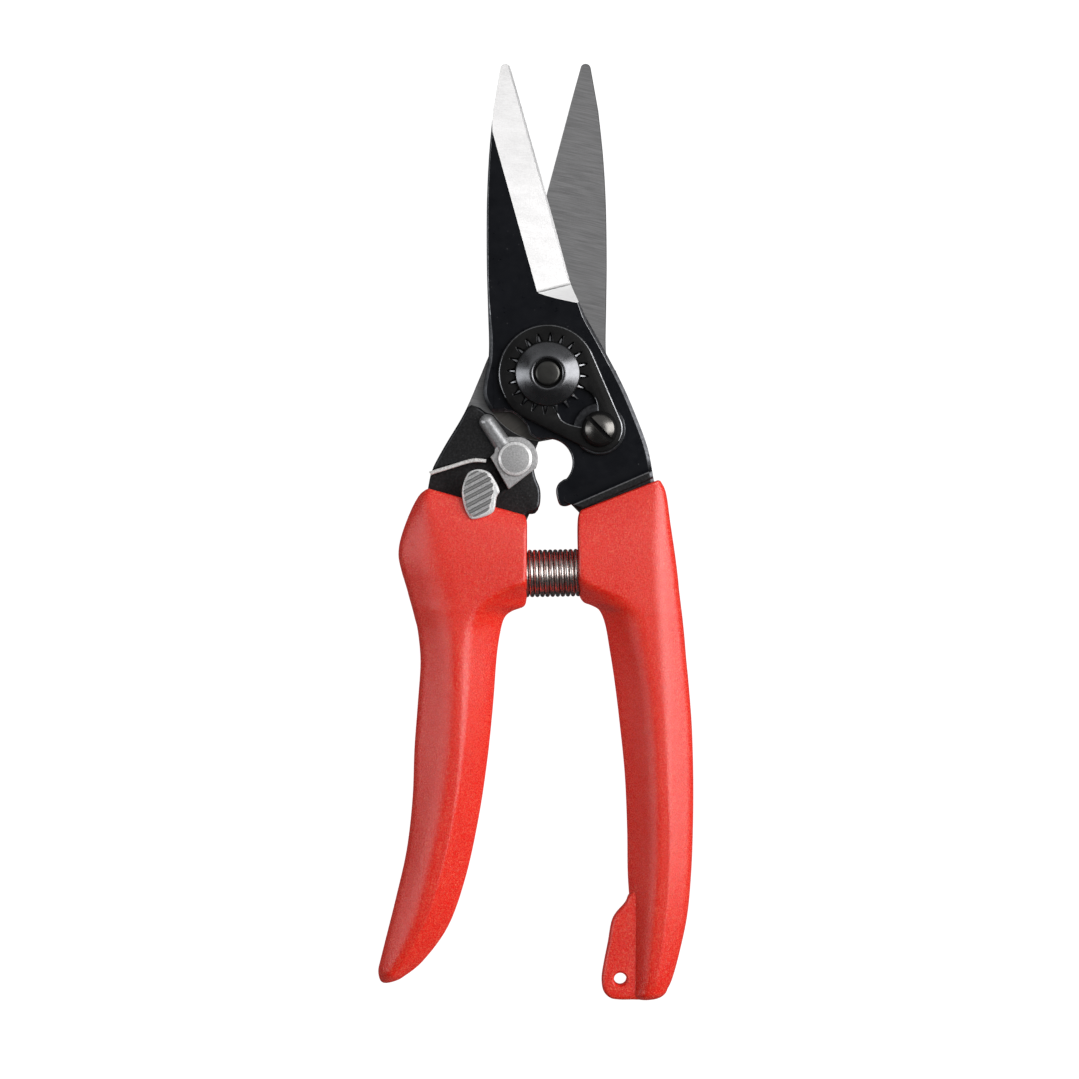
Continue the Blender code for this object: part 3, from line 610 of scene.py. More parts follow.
BAND_PROFILE = [  # across the band and above the outer face: fillet, flat, lip and the run into the grip
    (-3.2, -0.02), (-2.3, 0.03), (-1.4, 0.16), (-0.7, 0.42), (-0.1, 0.72), (0.15, 1), (0.42, 1.12),
    (1.3, 1.14), (1.62, 1.05), (1.85, 0.75), (2.1, 0.7), (3.3, 0.7),
]
BAND_STEPS = [0, 0.005, 0.012, 0.02] + [0.05 * k for k in range(1, 19)] + [0.93, 0.963, 0.966, 0.982, 0.994, 1]
CREST = 6  # the wall that is the lip's crest; it takes the lighter lip finish, a painted highlight line


def forged_band(line, sign, left_edge, right_edge):
    """The as-forged rise where the tang enters the grip: a concave fillet, a flat band and its lip."""
    (x0, y0), (x1, y1) = line
    along = Vector((x1 - x0, y1 - y0)).normalized()
    down = Vector((along.y, -along.x))
    profile = [(-3.4, 2.6)] + [(across, OUTER + rise) for across, rise in BAND_PROFILE] + [(3.5, 2.6)]
    bm = bmesh.new()
    rows = []
    for across, height in profile:
        start = Vector((x0, y0)) + down * across
        a, b = left_edge(start.y), right_edge((Vector((x1, y1)) + down * across).y)
        row = []
        for t in BAND_STEPS:
            x = a + (b - a) * t
            y = start.y + (x - start.x) * along.y / along.x
            end = min(t, 1 - t) * abs(b - a)
            drop = 0.35 * max(0, 1 - end / 0.4) ** 2 if t < 0.5 else 0.34 * max(0, 1 - end / 0.63)
            row.append(bm.verts.new((x, y, sign * (height - drop * (height > INNER + 2.6)))))
        rows.append(row)
    for i, (a, b) in enumerate(zip(rows, rows[1:])):
        wall(bm, a[:-4], b[:-4], 1 if i == CREST else 2 if i < CREST else 0, closed=False)
        wall(bm, a[-5:], b[-5:], 3, closed=False)
    bm.faces.new([row[0] for row in rows])
    bm.faces.new([row[-1] for row in rows])
    bm.faces.new(rows[0] + rows[-1][::-1])
    return bm


def edge_at(points):
    """X on a polyline as a function of Y."""
    ordered = sorted(points, key=lambda p: p[1])

    def found(y):
        for a, b in zip(ordered, ordered[1:]):
            if a[1] <= y <= b[1] and b[1] > a[1]:
                return a[0] + (b[0] - a[0]) * (y - a[1]) / (b[1] - a[1])
        return ordered[0][0] if y < ordered[0][1] else ordered[-1][0]

    return found


def bore():
    return made("bore", revolved([(0, -9), (BORE, -9), (BORE, 9), (0, 9)], 64), [BRUSHED])


def pocket():
    """Room in the back tang for the detent strip and the rivet."""
    return made("pocket", layered(pocket_plan(), [(0, -1.05), (0, 9)]), [TANG])


def front_blade():
    def share(part):
        return lambda x, y: chamfer_width(x, y) * part

    def height(part):
        def found(x, y):
            fall = 1 - 0.3 * (x > 5.5) * clamp((6 - y) / 8)
            return OUTER - max(chamfer_width(x, y), 0.1) * part * fall
        return found

    # the chamfer is bare metal at the edge; its two border walls take the bright edge finish and the wall
    # between them the duller one, which paints a highlight line along each border
    layers = [(0.12, INNER), (0, INNER + 0.15), (0, height(0.78)), (share(0.1), height(0.68)),
              (share(0.82), height(0.1)), (share(1.0), OUTER)]
    plate = made("front_plate", layered(front_outline(), layers, [0, 0, 2, 1, 2], (3, 0)),
                 [BLACK, SOFT_EDGE, EDGE, BRUSHED])
    carve(plate, grinder())
    carve(plate, keen_wheel())
    relief = [(-2, -21), (5.2, -21), (6.2, -24.5), (6.2, -29.4), (-2, -29.4)]
    carve(plate, made("relief", layered(relief, [(0, -FAR), (0, 0.75)]), [BLACK]))
    carve(plate, bore())
    smoothed(plate, 16)
    # on the tangs and along the heel the chamfer's bright border walls take the duller edge finish, so less
    # highlight is painted there
    for face in plate.data.polygons:
        x, y = face.center.x / MM - PIVOT.x, face.center.y / MM - PIVOT.y
        if face.material_index == 2 and (x < -9 and y < 12 or x > 6 and y < 2):
            face.material_index = 1
    left = edge_at([(4.2, -20), (2.3, -23.4), (1.9, -25.6), (4.6, -27), (6.6, -28.3), (7.8, -31), (9.5, -33)])
    right = edge_at(FRONT_TANG)
    strip = forged_band([(6.5, -27.2), (21.9, -20.5)], 1, lambda y: max(left(y), 3.2) + 0.12,
                        lambda y: right(y) - 0.12)
    band = made("front_band", strip, [TANG, LIP_HIGHLIGHT, BLACK, SOFT_EDGE])
    # behind: the tang beyond the round bearing face stands proud
    behind = arc((0, 0), 14.5, 4, -58, 20) + [(8.5, -17.5), (8.0, -24.0), (8.2, -33.0), (23.2, -34.0)]
    behind += [p for p in FRONT_TANG[::-1] if -33 < p[1] < 0.5]
    rear = made("front_rear", layered(behind, rounded(-0.45, 0.4, 0.05, 2, 0.3)), [TANG])
    return joined("front_forging", [plate, band, rear])


def back_blade():
    def width(x, y):
        return 0.32 if y < 16 or x > 9 else 0.06

    layers = [(width, -OUTER), (lambda x, y: width(x, y) * 0.4, -OUTER + 0.12), (0, -OUTER + 0.4),
              (0, -INNER - 0.14), (0.12, -INNER)]
    plate = made("back_plate", layered(back_outline(), layers, [2, 1, 0, 1], (0, 3)),
                 [BLACK, SOFT_EDGE, EDGE, BRUSHED])
    carve(plate, grinder(BACK_TURN))
    carve(plate, keen_wheel(BACK_TURN))
    carve(plate, pocket())
    carve(plate, bore())
    smoothed(plate, 16)
    outer = [p for p in BACK_OUTER if p[1] < -6.2]
    step = through([(-16.3, -6.5), (-14.6, -7.1), (-13.2, -8.1), (-11.9, -8.45)], 5)
    raised = outer + step + arc((0, 0), 14.4, 216.8, 262.5, 26) + through(BACK_INNER[1:], 5) + BACK_BURIED

    def soft(radius):
        """A rounded edge, but a crisp one along the step that stops the front blade."""
        return lambda x, y: 0.06 if math.hypot(x, y) < 15.0 or y > -7 else radius

    layers = [(0, -0.6), (0, 0.1), (soft(0.1), 0.32), (soft(0.28), 0.47), (soft(0.55), 0.55)]
    tang = made("raised_tang", layered(raised, layers, [0, 1, 1, 1]), [TANG, SOFT_EDGE])
    carve(tang, pocket())
    smoothed(tang, 30)
    # the bearing face that shows between the step and the front blade
    lens = arc((0, 0), 14.3, 214, 264, 20) + arc((0, 0), 5.0, 264, 214, 6)
    face = made("bearing", layered(lens, [(0, -0.3), (0, -INNER + 0.012)]), [LENS])
    left = edge_at(BACK_OUTER)
    right = edge_at(through(BACK_INNER, 5))
    strip = forged_band([(-25.1, -22.1), (-4.9, -27.7)], -1, lambda y: left(y) + 0.12, lambda y: right(y) - 0.3)
    band = made("back_band", strip, [TANG, LIP_HIGHLIGHT, TANG, TANG])
    return joined("back_forging", [plate, tang, face, band])


# ---- grips

# Stations from the top: left point, right point, half thickness, the ridges' X, and the heights of the left
# and right sides as parts of the half thickness
LEFT_GRIP = [
    (-25.9, -24.6, -4.7, -30.45, 4.8, -25.2, -4.95, 0.8, 0.93),
    (-27.5, -26, -4.42, -31.6, 5.3, -26.1, -4.7, 0.66, 0.93),
    (-29.4, -29.6, -4.4, -34, 6.1, -25.9, -4.8, 0.55, 0.93),
    (-31.3, -34.8, -4.4, -38, 6.6, -25.3, -4.8, 0.42, 0.93),
    (-31.85, -38.6, -4.4, -42, 6.75, -24.6, -4.9, 0.38, 0.93),
    (-31.2, -42, -4.4, -44.6, 6.8, -23.9, -5.6, 0.37, 0.92),
    (-30.6, -44, -4.4, -46.3, 6.8, -23.4, -8.9, 0.36, 0.7),
    (-30, -46, -4.5, -48, 6.8, -23, -11.6, 0.35, 0.4),
    (-29.5, -47.9, -5.1, -49.6, 6.8, -22.6, -13.8, 0.34, 0.22),
    (-28.9, -50, -7.6, -50.6, 6.8, -22.5, -15, 0.33, 0.16),
    (-28.4, -52, -9.2, -52, 6.75, -22, -15.8, 0.32, 0.14),
    (-27.7, -55, -10.1, -55, 6.7, -21.4, -16.8, 0.31, 0.12),
    (-27.15, -61.5, -10.9, -60.5, 6.6, -20.9, -17.3, 0.33, 0.12),
    (-27.75, -70.5, -11.7, -71, 6.5, -20.9, -17.6, 0.31, 0.12),
    (-28.45, -80, -12.9, -82.5, 6.4, -21.7, -18.3, 0.3, 0.13),
    (-28.85, -90.5, -14.7, -94.5, 6.2, -23.3, -19.8, 0.32, 0.15),
    (-30.1, -101.5, -17.4, -107, 5.9, -25.7, -22.3, 0.34, 0.18),
    (-32.4, -111.8, -21.2, -117.8, 5.3, -28.3, -25.5, 0.37, 0.22),
    (-34.7, -121, -26.7, -125.4, 4.3, -31.7, -29.7, 0.4, 0.3),
    (-36.1, -126.6, -31.2, -129, 3.2, -34.2, -33, 0.4, 0.36),
]
# The same, but the right side's height follows from outer_flank
RIGHT_GRIP = [
    (6.8, -29.45, 24, -22.75, 4.8, 7.05, 23, 0.93),
    (6.48, -30.9, 25.25, -25.4, 5.3, 6.75, 23.4, 0.93),
    (6.4, -34, 26.2, -32, 6.1, 6.8, 23.5, 0.93),
    (6.5, -39, 27.2, -38.8, 6.7, 6.9, 23.5, 0.93),
    (6.55, -43.4, 27.8, -43.6, 6.8, 7.4, 23.75, 0.92),
    (6.6, -45.6, 28, -45.8, 6.8, 10, 23.8, 0.72),
    (6.8, -47.3, 28.25, -47.8, 6.8, 12.9, 23.9, 0.42),
    (7.7, -48.7, 28.5, -49.9, 6.8, 15, 24.05, 0.22),
    (9.4, -49.4, 28.7, -51.4, 6.8, 16.1, 24.15, 0.17),
    (11.1, -50.5, 28.9, -53.2, 6.75, 17.2, 24.25, 0.14),
    (12.3, -53.4, 29.2, -56.2, 6.7, 18.3, 24.4, 0.12),
    (13.2, -58.4, 29.6, -61, 6.6, 19.6, 24.7, 0.1),
    (14.3, -65.5, 30.15, -66.7, 6.5, 20.9, 25.1, 0.1),
    (15.4, -74.5, 30.8, -75.5, 6.4, 21.9, 25.5, 0.1),
    (16.5, -85.5, 31.1, -86.5, 6.4, 22.5, 25.8, 0.1),
    (17, -97, 31, -97.5, 6.3, 22.7, 26, 0.1),
    (17.15, -107, 30.6, -107, 6.1, 22.6, 25.8, 0.12),
    (17.8, -116, 29.75, -115.8, 5.7, 21.9, 25.1, 0.2),
    (18.1, -124, 28, -124, 5.1, 21.2, 24.1, 0.3),
    (18.2, -129, 26.6, -129, 4.7, 20.9, 23.3, 0.36),
    (18.3, -131.5, 25.6, -131.2, 4.3, 20.6, 22.8, 0.42),
]
LAND = -6.6  # the level lands that the grips lie on
END_STEPS = 9  # rings that close a grip's tail


def outer_flank(y):
    """Slope of the right grip's outer flank: a little flatter at the head and towards the tail."""
    degrees = 33 - 1.5 * clamp((y + 58) / 10) - 3 * clamp((-92 - y) / 18)
    return math.tan(math.radians(degrees))


def corner(before, point, after, radius, steps):
    """A polygon corner rounded by a quadratic curve that starts radius away on each side."""
    p, a, b = Vector(point), Vector(before), Vector(after)
    ra = min(radius, (a - p).length * 0.48)
    rb = min(radius, (b - p).length * 0.48)
    start, end = p + (a - p).normalized() * ra, p + (b - p).normalized() * rb
    found = []
    for i in range(steps + 1):
        t = i / steps
        found.append(start * (1 - t) ** 2 + p * 2 * t * (1 - t) + end * t * t)
    return found


def grip_section(width, half, ridge_left, ridge_right, side_left, side_right, crisp):
    """A grip's section as (across, up): a flat crown between two soft ridges, sloping flanks and round sides.

    crisp gives the largest radii of the left ridge, right ridge, left side and right side.
    """
    high_left, high_right = half * side_left, half * side_right
    shape = [
        (0, 0), (0, high_left), (ridge_left, half), (ridge_right, half), (width, high_right),
        (width, 0), (width, -high_right), (ridge_right, -half), (ridge_left, -half), (0, -high_left),
    ]
    upper = [
        min(crisp[2], half * (1.05 - side_left) + 0.35), min(crisp[0], ridge_left * 0.6 + 0.3),
        min(crisp[1], (width - ridge_right) * 0.5 + 0.3), min(crisp[3], half * (1.05 - side_right) + 0.35),
    ]
    radii = [0, *upper, 0, *upper[::-1]]
    ring = []
    for i, point in enumerate(shape):
        following = shape[(i + 1) % len(shape)]
        if radii[i] == 0:
            ring.append(Vector(point))
        else:
            ring += corner(shape[i - 1], point, following, radii[i], 7)
        if i in (2, 7):  # the middle of the crown, above and below
            ring.append(Vector(point).lerp(Vector(following), 0.5))
    return ring


def grip_mesh(stations, tail, crisp, square=2.0, taper=0.0):
    """A grip through its stations, rounded off at the mouth and drawn in to its tail."""
    fine = through(stations, 6)
    bm = bmesh.new()
    rings = []

    def ring(x0, y0, x1, y1, half, ridge_left, ridge_right, side_left, side_right):
        width = math.hypot(x1 - x0, y1 - y0)
        share = width / (x1 - x0)
        # the ridge that faces the light turns sharper down the leg
        sharper = 1 - 0.75 * clamp((-62 - y1) / 35)
        # and the left ridge rolls over softly at the head
        softer = 1 + clamp((y0 + 60) / 14)
        section = grip_section(width, half, max((ridge_left - x0) * share, 0.15),
                               width - max((x1 - ridge_right) * share, 0.15), side_left, side_right,
                               (crisp[0] * softer, crisp[1] * sharper, *crisp[2:]))
        across = Vector((x1 - x0, y1 - y0, 0)).normalized()
        base = Vector((x0, y0, 0))
        rings.append([bm.verts.new(base + across * u + Vector((0, 0, v))) for u, v in section])

    x0, y0, x1, y1, half, *rest = fine[0]
    into = Vector((y1 - y0, x0 - x1)).normalized()
    for back, shrink in ((-0.3, 0.55), (-0.18, 0.25), (0.02, 0.07)):
        across = Vector((x1 - x0, y1 - y0)).normalized() * shrink
        shift = into * back
        ring(x0 + across.x + shift.x, y0 + across.y + shift.y, x1 - across.x + shift.x, y1 - across.y + shift.y,
             half - shrink, *rest)
    for values in fine:
        ring(*values)
    x0, y0, x1, y1, half, *ridges = fine[-1][:7]
    mid = Vector(((x0 + x1) / 2, (y0 + y1) / 2))
    for i in range(1, END_STEPS):
        grow = math.sin(math.pi / 2 * i / END_STEPS)
        shrink = (1 - grow ** square) ** (1 / square) * (1 - taper * grow)
        span = Vector(((x1 - x0) / 2, (y1 - y0) / 2)) * shrink
        centre = mid.lerp(Vector(tail), grow)
        ring(centre.x - span.x, centre.y - span.y, centre.x + span.x, centre.y + span.y, half * shrink,
             *(centre.x + (r - mid.x) * shrink for r in ridges), *fine[-1][7:9])
    for a, b in zip(rings, rings[1:]):
        wall(bm, a, b)
    bm.faces.new(rings[0])
    tip = bm.verts.new((*tail, 0))
    wall(bm, rings[-1], [tip] * len(rings[-1]))
    for v in bm.verts:
        v.co.z = max(v.co.z, LAND)
    return bm


def spring_pocket(mouth, deep):
    """The ring-shaped bore round the stud that centres the spring."""
    sign = 1 if mouth > deep else -1
    depth = abs(mouth - deep)
    stud = depth - 2
    profile = [(3.3, 0), (5.35, 0), (5.35, depth + 8), (0, depth + 8), (0, stud), (2.6, stud)]
    profile += [(3.3, stud - 0.6)]
    bm = revolved(profile, 48)
    turn = Matrix.Translation((deep, SPRING_Y, 0)) @ Matrix.Rotation(sign * math.pi / 2, 4, "Y")
    bmesh.ops.transform(bm, matrix=turn, verts=bm.verts)
    return made("pocket_cutter", bm, [RED])


def left_grip():
    shape = grip_mesh(LEFT_GRIP, (-35.3, -130.0), (2.8, 1.6, 1.8, 3.4), taper=0.4)
    grip = made("left_shell", shape, [RED], 50)
    carve(grip, spring_pocket(-4.4, -16.7))
    return joined("left_handle_grip", [grip])


def right_grip():
    stations = []
    for row in RIGHT_GRIP:
        x, y, half, ridge = row[2], row[3], row[4], row[6]
        stations.append((*row, 1 - outer_flank(y) * (x - ridge) / half))
    grip = made("right_shell", grip_mesh(stations, (21.2, -133.7), (2.2, 1.7, 3.4, 1.8), 2.5), [RED], 50)
    carve(grip, spring_pocket(6.4, 16.7))
    plan = through([
        (20.5, -110), (17.6, -111), (16.6, -112.9), (14.6, -115.2), (13.6, -117.3), (12.9, -121.4),
        (12.1, -125.4), (11.55, -129), (11.9, -131.6), (13.3, -133.1), (15.2, -133.5), (18, -133.5),
        (20, -133.3), (21.2, -131), (22.5, -123)], 4, closed=True)
    tab = made("tab", layered(plan, rounded(-2.2, 2.2, 0.9, 5, 0.9)), [RED])
    lower = [(0, -9), (1.75, -9), (1.75, -2.15), (1.5, -2), (1.36, -1.7)]
    flare = lower + [(radius, -height) for radius, height in lower[::-1]]
    carve(tab, made("eye", revolved(flare, 40, (15.5, -129.1)), [RED]))
    smoothed(tab, 40)
    return joined("right_handle_grip", [grip, tab])


# ---- pivot set

SCREW_AT = (11.05, -11.8)
PLATE_LOW, PLATE_TOP = 3.15, 4.6
PLATE_END, SCREW_END = 10.5, 5.0  # radii of the lock plate's two ends
TEETH = [math.radians(14 + 18 * k) for k in range(20)]


def plate_outline(steps=60):
    heading = math.degrees(math.atan2(SCREW_AT[1], SCREW_AT[0]))
    lean = math.degrees(math.asin((PLATE_END - SCREW_END) / math.hypot(*SCREW_AT)))
    big = arc((0, 0), PLATE_END, heading + 90 - lean, heading + 270 + lean, steps)
    return big + arc(SCREW_AT, SCREW_END, heading - 90 + lean, heading + 90 - lean, steps // 2)


def notches():
    """The round hole with its tapering notches."""
    outline = []
    for middle in TEETH:
        for radius, half in ((6.3, -0.72), (8.55, -0.16), (8.68, 0), (8.55, 0.16), (6.3, 0.72)):
            outline += turned([(radius, half)], middle)
    return outline


def lock_plate():
    layers = [(0, PLATE_LOW), (0, PLATE_TOP - 0.36), (0.06, PLATE_TOP - 0.2), (0.17, PLATE_TOP - 0.07),
              (0.34, PLATE_TOP)]
    plate = made("plate", layered(plate_outline(), layers, [0, 1, 1, 1]), [OXIDE_AND_SHADE, EDGE])
    window = through([
        (6.2, -2.6), (8.1, -3.5), (9.6, -4.6), (10.5, -6.8), (10.3, -9), (8.6, -11.2), (6.2, -11.15),
        (3.5, -10.2), (2.4, -8.7), (2, -6.6), (3.6, -3.6)], 4, closed=True)
    bright = PLATE_TOP + 0.004
    through_cut = [(0, 2), (0, 9)]
    # a shallow ledge round each notch takes the bright edge finish: painted highlight lines round the notches
    rim = [(0, PLATE_TOP - 0.14), (-0.13, bright), (-0.13, 9)]
    carve(plate, made("rim", layered(notches(), rim), [EDGE]))
    carve(plate, made("notch", layered(notches(), through_cut), [OXIDE_AND_SHADE]))
    # the lip round the window takes the bright edge finish too: a painted highlight line
    lip = [(0, PLATE_TOP - 0.22), (-0.1, PLATE_TOP - 0.07), (-0.26, bright), (-0.26, 9)]
    carve(plate, made("window_rim", layered(window, lip), [EDGE]))
    carve(plate, made("window", layered(window, through_cut), [OXIDE_AND_SHADE]))
    smoothed(plate, 30)
    # faces of the bright rim and ledges that turn towards -Y take the oxide instead: painted shade on their
    # lower side
    kinds = list(plate.data.materials)
    for face in plate.data.polygons:
        if kinds[face.material_index] == EDGE and face.normal.y < -0.2:
            face.material_index = kinds.index(OXIDE_AND_SHADE)
    ring = revolved([(2.1, 3.12), (5.5, 3.12), (5.5, 4.15), (5.3, 4.3), (4.5, 4.3), (2.1, 4.3)], 64, SCREW_AT)
    spacer = made("spacer", ring, [SOFT_EDGE])
    return joined("locking_plate", [plate, spacer])


def pivot_nut():
    profile = [
        (2.62, 3.15), (6.25, 3.15), (6.25, 4.6), (6.86, 4.62), (6.95, 4.78), (6.95, 5.05), (6.88, 5.27),
        (6.73, 5.42), (6.5, 5.55), (6, 5.82), (5.4, 6.14), (4.9, 6.4), (4.4, 6.63), (4, 6.79), (3.7, 6.87),
        (3.4, 6.87), (3.2, 6.8), (3.1, 6.68), (3.05, 6.4), (3.05, 6), (2.7, 5.85), (2.62, 5.8),
    ]
    # the outer rim and the bore take the dark oxide, not the satin finish: painted shade there, which also
    # keeps red reflections off the rim
    dome = made("dome", revolved(profile, 96, slots=[1] * 7 + [0] * 10 + [1] * 5), [NUT, OXIDE_AND_SHADE])
    # the teeth of the flange, one in each notch of the lock plate, falling away outwards:
    # radius, top, half width at the foot and half width at the crest
    tooth = [(6.1, 4.56, 0.46, 0.24), (7, 4.46, 0.34, 0.18), (8.1, 4.02, 0.18, 0.1), (8.45, 3.8, 0.1, 0.05)]
    low = 3.2
    bm = bmesh.new()
    for middle in TEETH:
        rings = []
        for radius, top, foot, crest in tooth:
            side = top - 0.15
            section = [(-foot, low), (-foot, side), (-crest, top), (crest, top), (foot, side), (foot, low)]
            ring = []
            for across, z in section:
                (x, y), = turned([(radius, across)], middle)
                ring.append(bm.verts.new((x, y, z)))
            rings.append(ring)
        skinned(bm, rings)
    teeth = made("teeth", bm, [EDGE])
    return joined("pivot_dome_nut", [dome, teeth])


def pivot_bolt():
    profile = [
        (0, -5.95), (5.2, -5.95), (5.75, -5.9), (6.2, -5.7), (6.4, -5.35), (6.4, -3.9), (6.3, -3.75),
        (4, -3.75), (4, 2.65), (2.5, 2.65), (2.58, 6.2), (2.56, 6.5), (2.42, 6.63), (2.1, 6.69),
        (0.8, 6.71), (0, 6.71),
    ]
    return made("pivot_stud", revolved(profile, 80, slots=[1] * 8 + [0] * 8), [BOLT, NUT])


def pivot_washer():
    profile = [(4.1, -3.65), (6.8, -3.65), (7, -3.55), (7, -3.25), (6.9, -3.15), (4.1, -3.15)]
    return made("bolt_washer", revolved(profile, 80), [STRIP])


def lock_screw():
    base, radius, steps = PLATE_TOP + 0.15, 3.85, 12
    profile = [(0, 1.3), (2, 1.3), (2, base), (3.75, base), (radius, base + 0.1)]
    for i in range(steps):
        a = math.pi / 2 * i / steps
        profile.append((radius * math.cos(a), base + 0.35 + 1.95 * math.sin(a)))
    profile += [(0, base + 2.3)]
    # the shank, the underside and the lower part of the head's dome take the dark oxide: painted shade on the
    # head's lower rim, which also keeps red reflections off it
    screw = made("screw_body", revolved(profile, 72, SCREW_AT, [1] * 10 + [0] * 9), [SCREW, OXIDE_AND_SHADE])
    half = 0.47
    slot = turned([(-6, -half), (6, -half), (6, half), (-6, half)], math.radians(-45.7))
    slot = [(x + SCREW_AT[0], y + SCREW_AT[1]) for x, y in slot]
    # the slot's walls and floor take the dark oxide: painted shade in the slot
    carve(screw, made("slot", layered(slot, [(0, base + 0.9), (0, 12)]), [OXIDE_AND_SHADE]))
    smoothed(screw, 30)
    return joined("locking_screw", [screw])


# ---- latch

RIVET = (-6.89, -18.06)
HUB_LOW, HUB_TOP = 0.68, 2.25


def at_rivet(points):
    return [(x + RIVET[0], y + RIVET[1]) for x, y in points]


def pocket_plan():
    upper = [(-28, -21.1), (-24.9, -20.15), (-20, -18.85), (-16.5, -18.15), (-13.6, -17.8)]
    lower = [(-9, -24.4), (-11.6, -26.6), (-12.4, -29.2), (-28, -26)]
    return upper + arc(RIVET, 2.9, 172, 262, 8) + lower


def latch_hub():
    plan = [(-5.35, 0.35), (-4.45, 1.35), (-4.4, 2), (-3.2, 4.3), (-1.2, 4.72)]
    plan += arc((0, 0), 4.8, 75, -25, 24) + [(-1.15, -6.35), (-1.5, -6.5)]
    return made("hub", layered(at_rivet(plan), rounded(HUB_LOW, HUB_TOP, 0.28, 4, 0.1)), [ZINC])


def latch_finger():
    """The half-round finger, which reaches from the hub to the front blade's heel and ends in a dome."""
    root, tip = Vector((-2.0, 2.0)), Vector((-6.0, 7.85))
    reach = (tip - root).normalized()
    side = Vector((-reach.y, reach.x))
    length, end, end_half, foot = 16, 8, 1.72, 0.4
    stations = [(root.lerp(tip, t / length), 1.98 - 0.28 * t / length) for t in range(length + 1)]
    for i in range(1, end + 1):
        a = math.pi / 2 * i / end
        stations.append((tip + reach * end_half * math.sin(a), end_half * math.cos(a) + 0.02))
    bm = bmesh.new()
    rings = []
    for p, half in stations:
        rise = (HUB_TOP + 0.45 - HUB_LOW - foot) * min(half / end_half, 1)
        ring = [(-half, HUB_LOW), (-half, HUB_LOW + foot)]
        for k in range(1, 14):
            a = math.pi * k / 14
            ring.append((-half * math.cos(a), HUB_LOW + foot + rise * math.sin(a)))
        ring += [(half, HUB_LOW + foot), (half, HUB_LOW)]
        places = at_rivet([p + side * u for u, z in ring])
        rings.append([bm.verts.new((x, y, z)) for (x, y), (u, z) in zip(places, ring)])
    skinned(bm, rings)
    return made("finger", bm, [ZINC_SMOOTH], 50)


def latch_neck():
    """The bent strip that climbs from the hub to the thumb pad, drawn as (distance out, height)."""
    heading = math.radians(224)
    out = Vector((math.cos(heading), math.sin(heading)))
    aside = Vector((-out.y, out.x))
    spine = through([
        (3, 1.2), (3.9, 0.9), (4.5, 0), (5.1, -0.55), (6.4, -0.6), (7.4, -0.35), (7.9, 0.9), (8, 3),
        (8.1, 5.2), (8.2, 6.2)], 3)
    half_section = [(-1.45, 0.7), (-1.3, 1), (1.3, 1), (1.45, 0.7)]
    section = half_section + [(-u, -v) for u, v in half_section]
    bm = bmesh.new()
    rings = []
    for i, (r, z) in enumerate(spine):
        before, after = Vector(spine[max(i - 1, 0)]), Vector(spine[min(i + 1, len(spine) - 1)])
        t = (after - before).normalized()
        n = Vector((-t.y, t.x)) * 0.38
        ring = []
        for u, v in section:
            (x, y), = at_rivet([out * (r + n.x * v) + aside * u])
            ring.append(bm.verts.new((x, y, z + n.y * v)))
        rings.append(ring)
    skinned(bm, rings)
    # the neck takes the dark oxide though it is part of the zinc lever: painted shade where it lies in shadow
    # between the hub and the pad
    return made("neck", bm, [OXIDE_AND_SHADE], 40)


def latch_lever():
    hub, finger, neck = latch_hub(), latch_finger(), latch_neck()
    foot = through([
        (-7.3, -2.35), (-5.4, -3.1), (-4.3, -4.7), (-3.3, -6.9), (-3.95, -8.3), (-4.35, -10.9), (-5.7, -12.1),
        (-8.9, -12.95), (-10.1, -12), (-11, -9.6), (-11.3, -6.6), (-10.3, -3.6), (-9, -2.55)],
        5, closed=True)
    crown = through([
        (-7.4, -2.75), (-5.9, -3.4), (-5, -4.9), (-4.65, -6.7), (-5.05, -8.6), (-5.55, -10.6), (-6.6, -11.5),
        (-8.7, -12.35), (-9.75, -11.6), (-10.55, -9.4), (-10.85, -6.6), (-9.95, -3.95), (-8.8, -2.95)],
        5, closed=True)
    # the sole, whose rim shows round the pad, and the pad's walls take the lighter zinc: a painted highlight
    # round the pad
    sole = made("sole", layered(at_rivet(foot), rounded(5.75, 6.75, 0.45, 4, 0.2)), [ZINC_HIGHLIGHT])
    layers = [(-0.12, 6.5), (-0.1, 6.75), (0, 7), (0.12, 7.1)]
    pad = made("pad", layered(at_rivet(crown), layers, [1, 1, 1]), [ZINC, ZINC_HIGHLIGHT])
    for k in range(-4, 5):
        low, high = 1.42 * k - 0.4, 1.42 * k + 0.4
        box = turned([(-9, low), (9, low), (9, high), (-9, high)], math.radians(28))
        groove = at_rivet([(x - 7.6, y - 7.1) for x, y in box])
        # each groove's walls and floor take the darker zinc: painted shade in the grooves
        carve(pad, made("groove", layered(groove, [(0.18, 6.78), (0.0, 7.105), (0, 9)]), [ZINC_GROOVE_SHADE]))
    smoothed(pad, 30)
    return joined("thumb_latch", [hub, finger, neck, sole, pad])


def latch_rivet():
    profile = [
        (0, -4.15), (1.4, -4.1), (2.3, -3.85), (2.8, -3.5), (2.9, -3.15), (2, -3.1), (2, 2.3), (3.62, 2.3),
        (3.68, 2.4), (3.68, 2.78), (3.6, 2.95), (3.12, 3.2), (3, 3.24), (0, 3.24),
    ]
    # the two walls of the head's rounded rim take the lighter zinc: a painted highlight ring
    slots = [0] * 10 + [1] * 2 + [0] * 2
    return made("latch_pin", revolved(profile, 72, RIVET, slots), [ZINC, ZINC_HIGHLIGHT])


